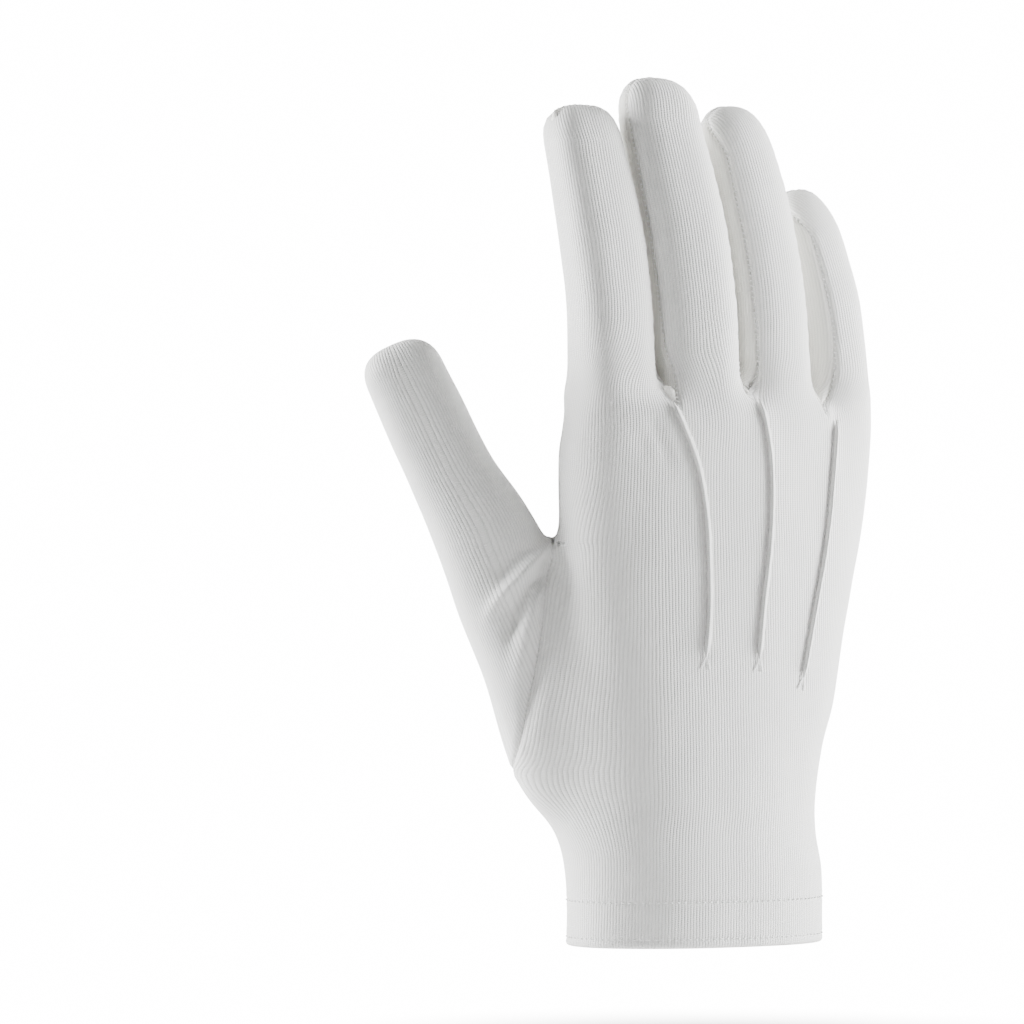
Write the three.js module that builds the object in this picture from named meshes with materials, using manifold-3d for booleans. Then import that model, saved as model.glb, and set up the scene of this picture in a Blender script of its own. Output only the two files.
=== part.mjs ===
// White parade glove for the right hand, in the form that it has when worn, with its cuff down.
// Millimetres. The origin is the centre of the cuff's opening. +Z runs to the fingertips,
// -Y is the back of the hand, +Y the palm, -X the thumb's side and +X the little finger's side.
// The outer form is a field made of the palm, four fingers and a thumb, blended where they meet.
// Each piece of cloth is a sheet of points laid on that form and given its wall inwards.
import * as THREE from "three";
import { mergeVertices } from "three/addons/utils/BufferGeometryUtils.js";
import Module from "manifold-3d";

// Driving sizes of the palm and the cuff
const palmLength = 152; // from the cuff's edge to the finger crotches
const knuckleBreadth = 94.4;
const palmDepth = 30;
const cuffBreadth = 76;
const cuffDepth = 48;
const palmLean = 7.6; // the knuckles' centre lies this far to the little finger's side
const palmTopDepth = 12; // length of the rounded top of the palm between the fingers

// Driving sizes of the fingers and the thumb
const indexLength = 81.6;
const middleLength = 88.4;
const ringLength = 82;
const littleLength = 60;
const indexBreadth = 22.4;
const middleBreadth = 23.6;
const ringBreadth = 23;
const littleBreadth = 19.2;
const fingerDepth = 20;
const fingerCurl = 13.6; // how far a fingertip lies in front of the finger's root
const fingerSway = 4; // how far a fingertip leans to the thumb's side
const thumbLength = 126.7;
const thumbBreadth = 23;
const thumbDepth = 20;
const thumbSpread = 22.5; // degrees between the thumb and the cuff's axis

// Driving sizes of the cloth and the trimmings
const clothWall = 1.2;
const liningWall = 1;
const pieceGap = 0.3;
const hemHeight = 16; // of the cloth turned in at the cuff
const tuckBreadth = 1.7;
const tuckHeight = 1.2;
const ventHeight = 55; // top of the wrist vent above the cuff's edge
const ventOpening = 11; // width of the hole in the trank, where the rolled rim lies
const bindingThickness = 2;
const facingReach = 8; // the vent's facing shows its stitching this far outside the hole
const snapDiameter = 12.9;
const snapHeight = 1.9;
const snapShank = 4;
const snapPlateHeight = 1.2;
const snapUp = 12.2; // of the stud's middle above the cuff's edge
const snapAside = 9.7; // of the stud's middle from the slit's middle line
const ventMiddle = -8; // the slit lies this far from the cuff's middle, minus to the thumb's side
const overLap = 5.5; // the over flap passes the slit's middle line by this much
const underLap = 13; // the under flap passes it the other way, under the over flap

// The seams are laid out as seen by an eye that looks at the back from the thumb's side.
const viewTurn = THREE.MathUtils.degToRad(30);
const viewCos = Math.cos(viewTurn);
const viewSin = Math.sin(viewTurn);
const fromView = (across, depth, up) =>
  new THREE.Vector3(across * viewCos + depth * viewSin, -across * viewSin + depth * viewCos, up);

const clamp = THREE.MathUtils.clamp;
const lerp = THREE.MathUtils.lerp;
const smooth = (share) => THREE.MathUtils.smoothstep(share, 0, 1);

// A table's column read between its rows along a smooth curve.
function readTable(rows, key, name, at) {
  if (at <= rows[0][key]) return rows[0][name];
  const last = rows.length - 1;
  if (at >= rows[last][key]) return rows[last][name];
  let i = 0;
  while (rows[i + 1][key] < at) i += 1;
  const slope = (j) => {
    const a = rows[Math.max(j - 1, 0)];
    const b = rows[Math.min(j + 1, last)];
    return (b[name] - a[name]) / (b[key] - a[key]);
  };
  const span = rows[i + 1][key] - rows[i][key];
  const t = (at - rows[i][key]) / span;
  const a = rows[i][name];
  const b = rows[i + 1][name];
  const rise = (2 * t * t * t - 3 * t * t + 1) * a + (3 * t * t - 2 * t * t * t) * b;
  return rise + (t * t * t - 2 * t * t + t) * span * slope(i) + (t * t * t - t * t) * span * slope(i + 1);
}

// Palm and wrist sections. up is a share of palmLength, widen runs from the cuff's breadth to the
// knuckles', flatten from the cuff's depth to the palm's, lean is a share of palmLean, square is the
// roundness power and arch bends the section's edges to the palm, as a share of palmDepth.
const palmRows = [
  { up: 0.0, widen: 0.0, flatten: 0.0, lean: 0.0, square: 2.2, arch: 0.0 },
  { up: 0.13, widen: -0.03, flatten: 0.06, lean: 0.0, square: 2.2, arch: 0.0 },
  { up: 0.2, widen: -0.13, flatten: 0.17, lean: -0.12, square: 2.2, arch: 0.0 },
  { up: 0.26, widen: -0.14, flatten: 0.25, lean: -0.08, square: 2.2, arch: 0.01 },
  { up: 0.35, widen: 0.02, flatten: 0.33, lean: 0.08, square: 2.3, arch: 0.03 },
  { up: 0.43, widen: 0.29, flatten: 0.44, lean: 0.32, square: 2.4, arch: 0.05 },
  { up: 0.55, widen: 0.54, flatten: 0.56, lean: 0.55, square: 2.5, arch: 0.07 },
  { up: 0.65, widen: 0.77, flatten: 0.67, lean: 0.76, square: 2.6, arch: 0.09 },
  { up: 0.76, widen: 0.93, flatten: 0.78, lean: 0.88, square: 2.7, arch: 0.11 },
  { up: 0.87, widen: 1.01, flatten: 0.89, lean: 0.96, square: 2.8, arch: 0.13 },
  { up: 0.95, widen: 1.0, flatten: 1.0, lean: 1.0, square: 2.9, arch: 0.14 },
];
const archTilt = 0.4; // the little finger's edge bends by this much more than the arch

// A finger's profile. up is a share of its length above the crotch, breadth and depth are shares of
// its own sizes, curl and sway shares of fingerCurl and fingerSway.
const fingerRows = [
  { up: -0.4, breadth: 1.02, depth: 1.2, curl: 0.0, sway: 0.0 },
  { up: 0.0, breadth: 1.03, depth: 1.22, curl: 0.0, sway: 0.0 },
  { up: 0.12, breadth: 1.0, depth: 1.13, curl: 0.03, sway: 0.0 },
  { up: 0.3, breadth: 0.99, depth: 1.04, curl: 0.1, sway: 0.03 },
  { up: 0.5, breadth: 1.0, depth: 1.0, curl: 0.25, sway: 0.25 },
  { up: 0.7, breadth: 0.98, depth: 0.97, curl: 0.5, sway: 0.65 },
  { up: 0.86, breadth: 0.92, depth: 0.92, curl: 0.76, sway: 0.95 },
  { up: 1.0, breadth: 0.84, depth: 0.84, curl: 1.0, sway: 1.0 },
];

// A finger's form runs out into the palm below this height over this length, shares of palmLength.
const fingerFoot = { from: 0.98, length: 0.3 };

// The four fingers. across is the root's place from the knuckles' centre as a share of
// knuckleBreadth, rise its place to the palm as a share of palmDepth, root the height of its crotch
// level and tip its dome's length as a share of the breadth. The angles run round the finger from
// the little finger's side over the back, and bound the fourchettes on its two sides.
const fingers = [
  {
    name: "index", length: indexLength, breadth: indexBreadth, across: -0.354, rise: 0.05,
    root: 0.995, tip: 0.5, square: 2.8, roll: 0, sway: 0.8,
    rightBack: 22, rightPalm: -62, leftBack: 0, leftPalm: 0,
  },
  {
    name: "middle", length: middleLength, breadth: middleBreadth, across: -0.09, rise: -0.017,
    root: 1.0, tip: 0.5, square: 2.8, roll: -6, sway: 1.15,
    rightBack: 20, rightPalm: -64, leftBack: 168, leftPalm: 212,
  },
  {
    name: "ring", length: ringLength, breadth: ringBreadth, across: 0.178, rise: 0.03,
    root: 0.995, tip: 0.62, square: 2.4, roll: 4, sway: 1.1,
    rightBack: 18, rightPalm: -58, leftBack: 138, leftPalm: 214,
  },
  {
    name: "little", length: littleLength, breadth: littleBreadth, across: 0.428, rise: 0.15,
    root: 0.99, tip: 0.7, square: 2.3, roll: 8, sway: 0.75,
    rightBack: 0, rightPalm: 0, leftBack: 120, leftPalm: 216,
  },
];

// The thumb's sections. along is a share of thumbLength from its root in the palm, offset a share of
// thumbBreadth to the fingers' side, breadth and depth shares of its own sizes.
const thumbRows = [
  { along: 0.0, offset: 0.0, breadth: 1.52, depth: 1.4 },
  { along: 0.1, offset: 0.0, breadth: 1.46, depth: 1.5 },
  { along: 0.26, offset: 0.0, breadth: 1.28, depth: 1.42 },
  { along: 0.4, offset: 0.02, breadth: 1.28, depth: 1.32 },
  { along: 0.55, offset: 0.04, breadth: 1.2, depth: 1.22 },
  { along: 0.7, offset: -0.05, breadth: 1.05, depth: 1.1 },
  { along: 0.86, offset: -0.1, breadth: 1.0, depth: 0.98 },
  { along: 1.0, offset: -0.13, breadth: 0.95, depth: 0.88 },
];
const thumbRoot = { across: -0.35, depth: -0.27, up: 0.329 }; // shares of the knuckles, palm, length
const thumbTip = { length: 0.44, square: 2.7 };
const thumbHeel = { from: 13, length: 30 }; // the thumb's form runs out into the wrist
const thumbDepthLean = 0.04; // the thumb goes away from the eye by this share of its length

// How softly the forms run into each other
const fingerBlend = 1;
const palmBlend = 5;
const thumbBlend = 9;

const radius = (power, ...parts) => {
  let sum = 0;
  for (const part of parts) sum += Math.abs(part) ** power;
  return sum ** (1 / power);
};

// Distance to a form whose scaled parts make a rounded box of the given power.
function boxDistance(power, parts, sizes) {
  const rho = Math.max(radius(power, ...parts), 1e-6);
  let steep = 0;
  parts.forEach((part, i) => {
    steep += ((Math.abs(part) / rho) ** (power - 1) / sizes[i]) ** 2;
  });
  return (rho - 1) / Math.sqrt(Math.max(steep, 1e-9));
}

function palmSection(height) {
  const up = height / palmLength;
  const read = (name) => readTable(palmRows, "up", name, up);
  return {
    centre: palmLean * read("lean"),
    halfBreadth: (cuffBreadth + (knuckleBreadth - cuffBreadth) * read("widen")) / 2,
    halfDepth: (cuffDepth + (palmDepth - cuffDepth) * read("flatten")) / 2,
    square: read("square"),
    arch: read("arch") * palmDepth,
  };
}

function palmField(point) {
  const section = palmSection(point.z);
  const side = (point.x - section.centre) / section.halfBreadth;
  const bent = section.arch * (side * side + archTilt * side);
  const top = Math.max((point.z - (palmLength + 1 - palmTopDepth)) / palmTopDepth, 0);
  const parts = [side, (point.y - bent) / section.halfDepth, top];
  return boxDistance(section.square, parts, [section.halfBreadth, section.halfDepth, palmTopDepth]);
}

function fingerSection(finger, height) {
  const up = (height - finger.root * palmLength) / finger.length;
  const read = (name) => readTable(fingerRows, "up", name, up);
  return {
    up,
    x: palmLean + finger.across * knuckleBreadth - fingerSway * finger.sway * read("sway"),
    y: finger.rise * palmDepth + fingerCurl * read("curl"),
    halfBreadth: (finger.breadth * read("breadth")) / 2,
    halfDepth: (fingerDepth * (finger.breadth / middleBreadth) ** 0.6 * read("depth")) / 2,
  };
}

const fingerTop = (finger) => finger.root * palmLength + finger.length;

function fingerField(finger, point) {
  const section = fingerSection(finger, point.z);
  const roll = THREE.MathUtils.degToRad(finger.roll);
  const dx = point.x - section.x;
  const dy = point.y - section.y;
  const side = (dx * Math.cos(roll) + dy * Math.sin(roll)) / section.halfBreadth;
  const deep = (-dx * Math.sin(roll) + dy * Math.cos(roll)) / section.halfDepth;
  const dome = finger.tip * finger.breadth;
  const above = Math.max((point.z - (fingerTop(finger) - dome)) / dome, 0);
  const below = Math.max((palmLength * fingerFoot.from - point.z) / (palmLength * fingerFoot.length), 0);
  const parts = [side, deep, above + below];
  return boxDistance(finger.square, parts, [section.halfBreadth, section.halfDepth, dome]);
}

// The thumb's own frame: along its axis, sideways in the view and deep away from the eye.
const spread = THREE.MathUtils.degToRad(thumbSpread);
const thumbStart = fromView(
  thumbRoot.across * knuckleBreadth, thumbRoot.depth * palmDepth, thumbRoot.up * palmLength,
);
const thumbAxis = fromView(-Math.sin(spread), thumbDepthLean, Math.cos(spread)).normalize();
const thumbSide = fromView(Math.cos(spread), 0, Math.sin(spread));
thumbSide.addScaledVector(thumbAxis, -thumbSide.dot(thumbAxis)).normalize();
const thumbDeep = new THREE.Vector3().crossVectors(thumbAxis, thumbSide);

function thumbSection(along) {
  const read = (name) => readTable(thumbRows, "along", name, along / thumbLength);
  return {
    offset: read("offset") * thumbBreadth,
    halfBreadth: (read("breadth") * thumbBreadth) / 2,
    halfDepth: (read("depth") * thumbDepth) / 2,
  };
}

function thumbField(point) {
  const local = point.clone().sub(thumbStart);
  const along = local.dot(thumbAxis);
  const section = thumbSection(along);
  const dome = thumbTip.length * thumbBreadth;
  const parts = [
    (local.dot(thumbSide) - section.offset) / section.halfBreadth,
    local.dot(thumbDeep) / section.halfDepth,
    Math.max((along - (thumbLength - dome)) / dome, 0) + Math.max((thumbHeel.from - along) / thumbHeel.length, 0),
  ];
  return boxDistance(thumbTip.square, parts, [section.halfBreadth, section.halfDepth, dome]);
}

function blend(a, b, reach) {
  const share = Math.max(reach - Math.abs(a - b), 0) / reach;
  return Math.min(a, b) - (share * share * reach) / 4;
}

// The folds of the cloth as the view shows them. Both ends are places across and up, as shares of
// knuckleBreadth and palmLength. A fold's height is negative where it is a valley.
const folds = [
  { side: "back", from: [-0.41, 0.73], to: [-0.6, 0.59], width: 3, height: 1.3 },
  { side: "back", from: [-0.47, 0.69], to: [-0.55, 0.6], width: 2.6, height: -1.2 },
  { side: "palm", from: [0.0, 0.21], to: [-0.17, 0.36], width: 3, height: 0.8 },
];

function foldHeight(point) {
  const across = point.x * viewCos - point.y * viewSin;
  const depth = point.x * viewSin + point.y * viewCos;
  let height = 0;
  for (const fold of folds) {
    if ((fold.side === "back") === depth > -5) continue;
    const [x0, z0] = [fold.from[0] * knuckleBreadth, fold.from[1] * palmLength];
    const [x1, z1] = [fold.to[0] * knuckleBreadth, fold.to[1] * palmLength];
    const span = Math.hypot(x1 - x0, z1 - z0);
    const share = clamp(((across - x0) * (x1 - x0) + (point.z - z0) * (z1 - z0)) / span ** 2, 0, 1);
    const away = Math.hypot(across - lerp(x0, x1, share), point.z - lerp(z0, z1, share));
    height += fold.height * Math.exp(-((away / fold.width) ** 2));
  }
  return height;
}

function field(point) {
  let hand = Infinity;
  for (const finger of fingers) {
    const one = fingerField(finger, point);
    hand = hand === Infinity ? one : blend(hand, one, fingerBlend);
  }
  return blend(blend(palmField(point), hand, palmBlend), thumbField(point), thumbBlend) - foldHeight(point);
}

function fieldNormal(point) {
  const step = 0.05;
  const normal = new THREE.Vector3();
  for (const axis of ["x", "y", "z"]) {
    const ahead = point.clone();
    const behind = point.clone();
    ahead[axis] += step;
    behind[axis] -= step;
    normal[axis] = (field(ahead) - field(behind)) / (2 * step);
  }
  return normal;
}

// Moves a point to the form's surface.
function onForm(point) {
  const found = point.clone();
  for (let i = 0; i < 12; i += 1) {
    const value = field(found);
    if (Math.abs(value) < 1e-4) break;
    const slope = fieldNormal(found);
    found.addScaledVector(slope, clamp(-value, -4, 4) / Math.max(slope.lengthSq(), 0.05));
  }
  return found;
}

// The surface as the eye sees it at a place of the view, on the back or on the palm's side. A place
// just outside the outline gives the outline.
function seen(across, up, side) {
  const start = side === "back" ? -cuffDepth : cuffDepth;
  const steps = 80;
  let near = start;
  let far = start;
  let met = false;
  for (let i = 1; i <= 2 * steps && !met; i += 1) {
    near = far;
    far = start * (1 - i / steps);
    met = field(fromView(across, far, up)) < 0;
  }
  if (!met) return seen(across - Math.sign(across) * 0.5, up, side);
  for (let i = 0; i < 20; i += 1) {
    const middle = (near + far) / 2;
    if (field(fromView(across, middle, up)) < 0) far = middle;
    else near = middle;
  }
  return fromView(across, near, up);
}

// A sheet is a list of four-sided faces that share their corners by place.
class Sheet {
  constructor() {
    this.points = [];
    this.places = new Map();
    this.faces = [];
  }
  corner(point) {
    const key = [point.x, point.y, point.z].map((value) => Math.round(value * 1e4)).join(",");
    if (!this.places.has(key)) {
      this.places.set(key, this.points.length);
      this.points.push(point.clone());
    }
    return this.places.get(key);
  }
  face(corners) {
    const loop = corners.map((point) => this.corner(point));
    const unique = loop.filter((corner, i) => corner !== loop[(i + 1) % loop.length]);
    for (let i = 2; i < unique.length; i += 1) this.faces.push([unique[0], unique[i - 1], unique[i]]);
  }
  patch(grid) {
    for (let row = 1; row < grid.length; row += 1) {
      for (let i = 1; i < grid[row].length; i += 1) {
        this.face([grid[row - 1][i - 1], grid[row - 1][i], grid[row][i], grid[row][i - 1]]);
      }
    }
  }
}

function solidGeometry(points, faces) {
  const flat = points.flatMap((point) => [point.x, point.y, point.z]);
  const geometry = new THREE.BufferGeometry();
  geometry.setAttribute("position", new THREE.Float32BufferAttribute(flat, 3));
  geometry.setIndex(faces.flat());
  let volume = 0;
  for (const [a, b, c] of faces) {
    volume += points[a].dot(new THREE.Vector3().crossVectors(points[b], points[c]));
  }
  if (volume < 0) geometry.setIndex(faces.flatMap(([a, b, c]) => [a, c, b]));
  return geometry;
}

// Gives a sheet its wall: it lies under its own points by the cover and is as thick as the wall.
function thicken(sheet, wall, cover = 0) {
  const normals = sheet.points.map((point) => fieldNormal(point).normalize());
  const sunk = (depth) => sheet.points.map((point, i) => point.clone().addScaledVector(normals[i], -depth));
  const outer = sunk(cover);
  const inner = sunk(cover + wall);
  const count = outer.length;
  const faces = [];
  const edges = new Map();
  for (const [a, b, c] of sheet.faces) {
    faces.push([a, b, c], [count + a, count + c, count + b]);
    for (const [from, to] of [[a, b], [b, c], [c, a]]) {
      if (edges.has(`${to},${from}`)) edges.delete(`${to},${from}`);
      else edges.set(`${from},${to}`, [from, to]);
    }
  }
  for (const [from, to] of edges.values()) {
    faces.push([to, from, count + from], [to, count + from, count + to]);
  }
  return solidGeometry([...outer, ...inner], faces);
}

// One finger's surface point at a height and at an angle round it.
function fingerPoint(finger, height, angle) {
  const section = fingerSection(finger, height);
  const turn = THREE.MathUtils.degToRad(angle);
  const power = 2 / finger.square;
  const round = (value) => Math.sign(value) * Math.abs(value) ** power;
  const side = section.halfBreadth * round(Math.cos(turn));
  const deep = -section.halfDepth * round(Math.sin(turn));
  const roll = THREE.MathUtils.degToRad(finger.roll);
  return new THREE.Vector3(
    section.x + side * Math.cos(roll) - deep * Math.sin(roll),
    section.y + side * Math.sin(roll) + deep * Math.cos(roll),
    height,
  );
}

// The palm's section at a height as places by their share of its way round, from the little
// finger's side over the back, the thumb's side and the palm.
function palmRing(height) {
  const section = palmSection(height);
  const steps = 240;
  const ring = [];
  let length = 0;
  for (let i = 0; i <= steps; i += 1) {
    const turn = (i / steps) * 2 * Math.PI;
    const power = 2 / section.square;
    const side = Math.sign(Math.cos(turn)) * Math.abs(Math.cos(turn)) ** power;
    const deep = -Math.sign(Math.sin(turn)) * Math.abs(Math.sin(turn)) ** power;
    const x = section.centre + section.halfBreadth * side;
    const y = section.halfDepth * deep + section.arch * (side * side + archTilt * side);
    if (i > 0) length += Math.hypot(x - ring[i - 1].x, y - ring[i - 1].y);
    ring.push({ x, y, length });
  }
  return ring;
}

function ringPlace(ring, share) {
  const total = ring[ring.length - 1].length;
  const target = (((share % 1) + 1) % 1) * total;
  let i = 1;
  while (i < ring.length - 1 && ring[i].length < target) i += 1;
  const t = (target - ring[i - 1].length) / Math.max(ring[i].length - ring[i - 1].length, 1e-9);
  return { x: lerp(ring[i - 1].x, ring[i].x, t), y: lerp(ring[i - 1].y, ring[i].y, t) };
}

// The crotches between the fingers
const crotchUp = [0.987, 1.01, 0.972]; // shares of palmLength, from the index finger on
const crotches = crotchUp.map((up, i) => {
  const left = fingerSection(fingers[i], palmLength);
  const right = fingerSection(fingers[i + 1], palmLength);
  const x = (left.x + left.halfBreadth + right.x - right.halfBreadth) / 2;
  return { x, up: up * palmLength };
});

const knuckleLevel = palmLength * 0.93;
const knuckleRing = palmRing(knuckleLevel);
function shareAt(x, side) {
  const total = knuckleRing[knuckleRing.length - 1].length;
  const half = (knuckleRing.length - 1) / 2;
  const start = side === "back" ? 0 : half;
  for (let i = start + 1; i <= start + half; i += 1) {
    const a = knuckleRing[i - 1];
    const b = knuckleRing[i];
    if ((a.x - x) * (b.x - x) <= 0) return lerp(a.length, b.length, (x - a.x) / (b.x - a.x)) / total;
  }
  return side === "back" ? 0.25 : 0.75;
}

// The trank's columns in six groups round the palm, each with the finger strip that it runs into.
// Angles go up round the finger, and ends name the crotch at either side.
const [index, middle, ring, little] = fingers;
const groups = [
  { finger: index, steps: 14, from: [0, "back"], to: [0, "palm"], start: index.rightBack, end: index.rightPalm + 360 },
  { finger: middle, steps: 4, from: [0, "palm"], to: [1, "palm"], start: middle.leftPalm, end: middle.rightPalm + 360 },
  { finger: ring, steps: 4, from: [1, "palm"], to: [2, "palm"], start: ring.leftPalm, end: ring.rightPalm + 360 },
  { finger: little, steps: 12, from: [2, "palm"], to: [2, "back"], start: little.leftPalm, end: little.leftBack + 360 },
  { finger: ring, steps: 4, from: [2, "back"], to: [1, "back"], start: ring.rightBack, end: ring.leftBack },
  { finger: middle, steps: 4, from: [1, "back"], to: [0, "back"], start: middle.rightBack, end: middle.leftBack },
];
for (const group of groups) {
  group.fromShare = shareAt(crotches[group.from[0]].x, group.from[1]);
  group.toShare = shareAt(crotches[group.to[0]].x, group.to[1]);
  if (group.toShare < group.fromShare) group.toShare += 1;
}
const columns = groups.flatMap((group) =>
  Array.from({ length: group.steps }, (_, i) => ({
    share: lerp(group.fromShare, group.toShare, i / group.steps),
    crotch: lerp(crotches[group.from[0]].up, crotches[group.to[0]].up, i / group.steps),
  })),
);

// The thumb's seam in the view: places across and up, as shares of knuckleBreadth and palmLength,
// on the back and on the palm's side. Both lines share their ends.
const thumbSeam = [
  { up: 0.735, back: -0.412, palm: -0.412 },
  { up: 0.66, back: -0.432, palm: -0.42 },
  { up: 0.58, back: -0.448, palm: -0.428 },
  { up: 0.5, back: -0.472, palm: -0.434 },
  { up: 0.42, back: -0.502, palm: -0.44 },
  { up: 0.36, back: -0.522, palm: -0.452 },
  { up: 0.314, back: -0.545, palm: -0.545 },
];
const seamTop = thumbSeam[0].up * palmLength;
const seamBottom = thumbSeam[thumbSeam.length - 1].up * palmLength;
const seamRows = [...thumbSeam].reverse();
const seamAcross = (side, height) => readTable(seamRows, "up", side, height / palmLength) * knuckleBreadth;

// The vent on the palm's side: a hole at the top of a slit, below which the flaps overlap.
const holeBottom = ventHeight * 0.64;
const ventHalf = (height) => {
  const share = clamp((height - holeBottom) / (ventHeight - holeBottom), 0, 1);
  return (ventOpening / 2) * Math.sin(Math.PI * share ** 0.85) ** 0.6;
};
const lapShare = (height) => smooth((holeBottom - height) / (holeBottom * 0.55));

// The over flap is lifted and the under flap sunk, so that two layers of each lie clear.
const flapAir = 0.2; // room between the two flaps
const flapStep = clothWall + liningWall + 2 * pieceGap + flapAir;
const flapFade = 10; // the lift runs out over this breadth of cloth
function flapLift(x, height, over) {
  const risen = smooth((ventHeight * 0.95 - height) / (ventHeight * 0.3)) * (flapStep / 2);
  if (over) return risen * smooth((ventMiddle + underLap + flapFade + 1 - x) / flapFade);
  return -risen * smooth((x - (ventMiddle - overLap - flapFade - 1)) / flapFade);
}

// Heights of the trank's rows up to the knuckles: the levels that a seam or an edge needs, and
// steps between them
const rowStep = 8;
const ventStep = 3.6;
const edgeLevels = [0, hemHeight, holeBottom, seamBottom, ventHeight, seamTop, knuckleLevel].sort((a, b) => a - b);
const between = (low, high, steps) => Array.from({ length: steps }, (_, i) => lerp(low, high, (i + 1) / steps));
const palmLevels = [0];
for (const level of edgeLevels) {
  const last = palmLevels[palmLevels.length - 1];
  const step = last >= holeBottom && level <= ventHeight ? ventStep : rowStep;
  if (level - last > 0.2) palmLevels.push(...between(last, level, Math.ceil((level - last) / step)));
}
const thumbColumn = 7; // the column that splits at the thumb
const slitReach = 6; // columns that make room for a slit
const thumbDraw = 24; // the columns draw together over this height beyond the thumb's slit
const ventDraw = 20; // and beyond the vent

const lowRing = palmRing(holeBottom);
const ventColumn = columns.reduce((best, column, i) => {
  const far = (at) => Math.abs(at.x - ventMiddle) + (at.y > 0 ? 0 : knuckleBreadth);
  return far(ringPlace(lowRing, column.share)) < far(ringPlace(lowRing, columns[best].share)) ? i : best;
}, 0);

// One row of the trank. A column has one place for the cloth before it and one for the cloth
// after it, which are the same except along a slit.
function trankRow(level) {
  const ringHere = palmRing(level);
  const follow = smooth((level / palmLength - 0.6) / 0.33);
  const places = columns.map((column) => {
    const at = ringPlace(ringHere, column.share);
    return new THREE.Vector3(at.x, at.y, level + (column.crotch - palmLength) * follow);
  });
  const before = places.map((place) => place.clone());
  const after = places.map((place) => place.clone());
  const pull = (column, way, target) => {
    const move = target.clone().sub(places[column]);
    (way < 0 ? before : after)[column].add(move);
    for (let i = 1; i <= slitReach; i += 1) {
      const at = (column + way * i + columns.length) % columns.length;
      const share = (1 - i / (slitReach + 1)) ** 1.5;
      before[at].addScaledVector(move, share);
      after[at].addScaledVector(move, share);
    }
  };
  const near = (height, reach) => smooth(1 - Math.abs(level - height) / reach);
  if (level < seamTop && level > seamBottom) {
    for (const [side, way] of [["back", -1], ["palm", 1]]) {
      pull(thumbColumn, way, seen(seamAcross(side, level), level, side));
    }
  } else {
    const end = level < seamTop ? seamBottom : seamTop;
    const seamEnd = seen(seamAcross("back", end), end, "back");
    const target = places[thumbColumn].clone();
    target.x = lerp(target.x, seamEnd.x, near(end, thumbDraw));
    target.y = lerp(target.y, seamEnd.y, near(end, thumbDraw));
    for (const way of [-1, 1]) pull(thumbColumn, way, target);
  }
  if (level < ventHeight + ventDraw) {
    for (const way of [-1, 1]) {
      const lap = lapShare(level) * (way < 0 ? underLap : -overLap);
      const x = lerp(places[ventColumn].x, ventMiddle, near(Math.min(level, ventHeight), ventDraw)) + lap;
      const target = places[ventColumn].clone();
      target.x = x + way * ventHalf(level);
      pull(ventColumn, way, target);
    }
  }
  const laid = (list, over) => list.map((place, i) => {
    const found = onForm(place);
    const apart = (i - ventColumn + columns.length) % columns.length;
    const side = apart === 0 ? over : apart < columns.length / 2;
    const lift = found.y > 0 ? flapLift(found.x, level, side) : 0;
    return found.addScaledVector(fieldNormal(found).normalize(), lift);
  });
  return { before: laid(before, false), after: laid(after, true) };
}

// Lays the cloth between rows all the way round. Each face takes the place after its first column
// and the place before its second one, so a slit stays open.
function patchRound(sheet, rows) {
  for (let row = 1; row < rows.length; row += 1) {
    columns.forEach((_, i) => {
      const next = (i + 1) % columns.length;
      const [low, high] = [rows[row - 1], rows[row]];
      sheet.face([low.after[i], low.before[next], high.before[next], high.after[i]]);
    });
  }
}

// Rows of a finger's strip above the crotch row, as shares of its length
const fingerUps = [0.15, 0.27, 0.39, 0.51, 0.63, 0.74];
const domeShares = [0, 0.4, 0.75];
const seamReach = 0.55; // the tip's seam spans this share of the breadth
const seamDrop = 0.05; // its ends lie lower by this share of the length

// A seam's angle draws half way to the finger's corner near the crotch.
function seamAngle(angle, up) {
  const corner = Math.round((angle - 45) / 90) * 90 + 45;
  return lerp((corner + angle) / 2, angle, smooth(up / 0.35));
}

function fingerRow(finger, up, start, end, steps) {
  const height = finger.root * palmLength + up * finger.length;
  const [from, to] = [seamAngle(start, up), seamAngle(end, up)];
  return Array.from({ length: steps + 1 }, (_, i) => fingerPoint(finger, height, lerp(from, to, i / steps)));
}

function tipPlace(finger, side) {
  const top = fingerTop(finger) - seamDrop * finger.length * Math.abs(side);
  const section = fingerSection(finger, top);
  return new THREE.Vector3(section.x + side * seamReach * section.halfBreadth, section.y, top);
}

// The strip of a group from the crotch to the tip, with the side of the tip that each column meets.
function stripRows(group, foot, sides) {
  const { finger, start, end, steps } = group;
  const domeUp = 1 - (finger.tip * finger.breadth) / finger.length;
  const rows = [foot];
  const first = fingerRow(finger, fingerUps[0], start, end, steps);
  rows.push(first.map((place, i) => onForm(place.clone().lerp(foot[i], 0.45))));
  for (const up of fingerUps) {
    rows.push(fingerRow(finger, up, start, end, steps).map((place) => onForm(place)));
  }
  const domeRow = fingerRow(finger, domeUp, start, end, steps);
  for (const share of domeShares) {
    rows.push(domeRow.map((place, i) => onForm(place.clone().lerp(tipPlace(finger, sides[i]), share))));
  }
  rows.push(sides.map((side) => onForm(tipPlace(finger, side))));
  return rows;
}

const palmRowsLaid = palmLevels.map(trankRow);

// The crotch row: each column's place at the foot of its finger's strip
const crotchPlaces = columns.map((column) => {
  const at = ringPlace(knuckleRing, column.share);
  return onForm(new THREE.Vector3(at.x, at.y, column.crotch));
});
const crotchRow = { before: crotchPlaces, after: crotchPlaces };

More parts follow.
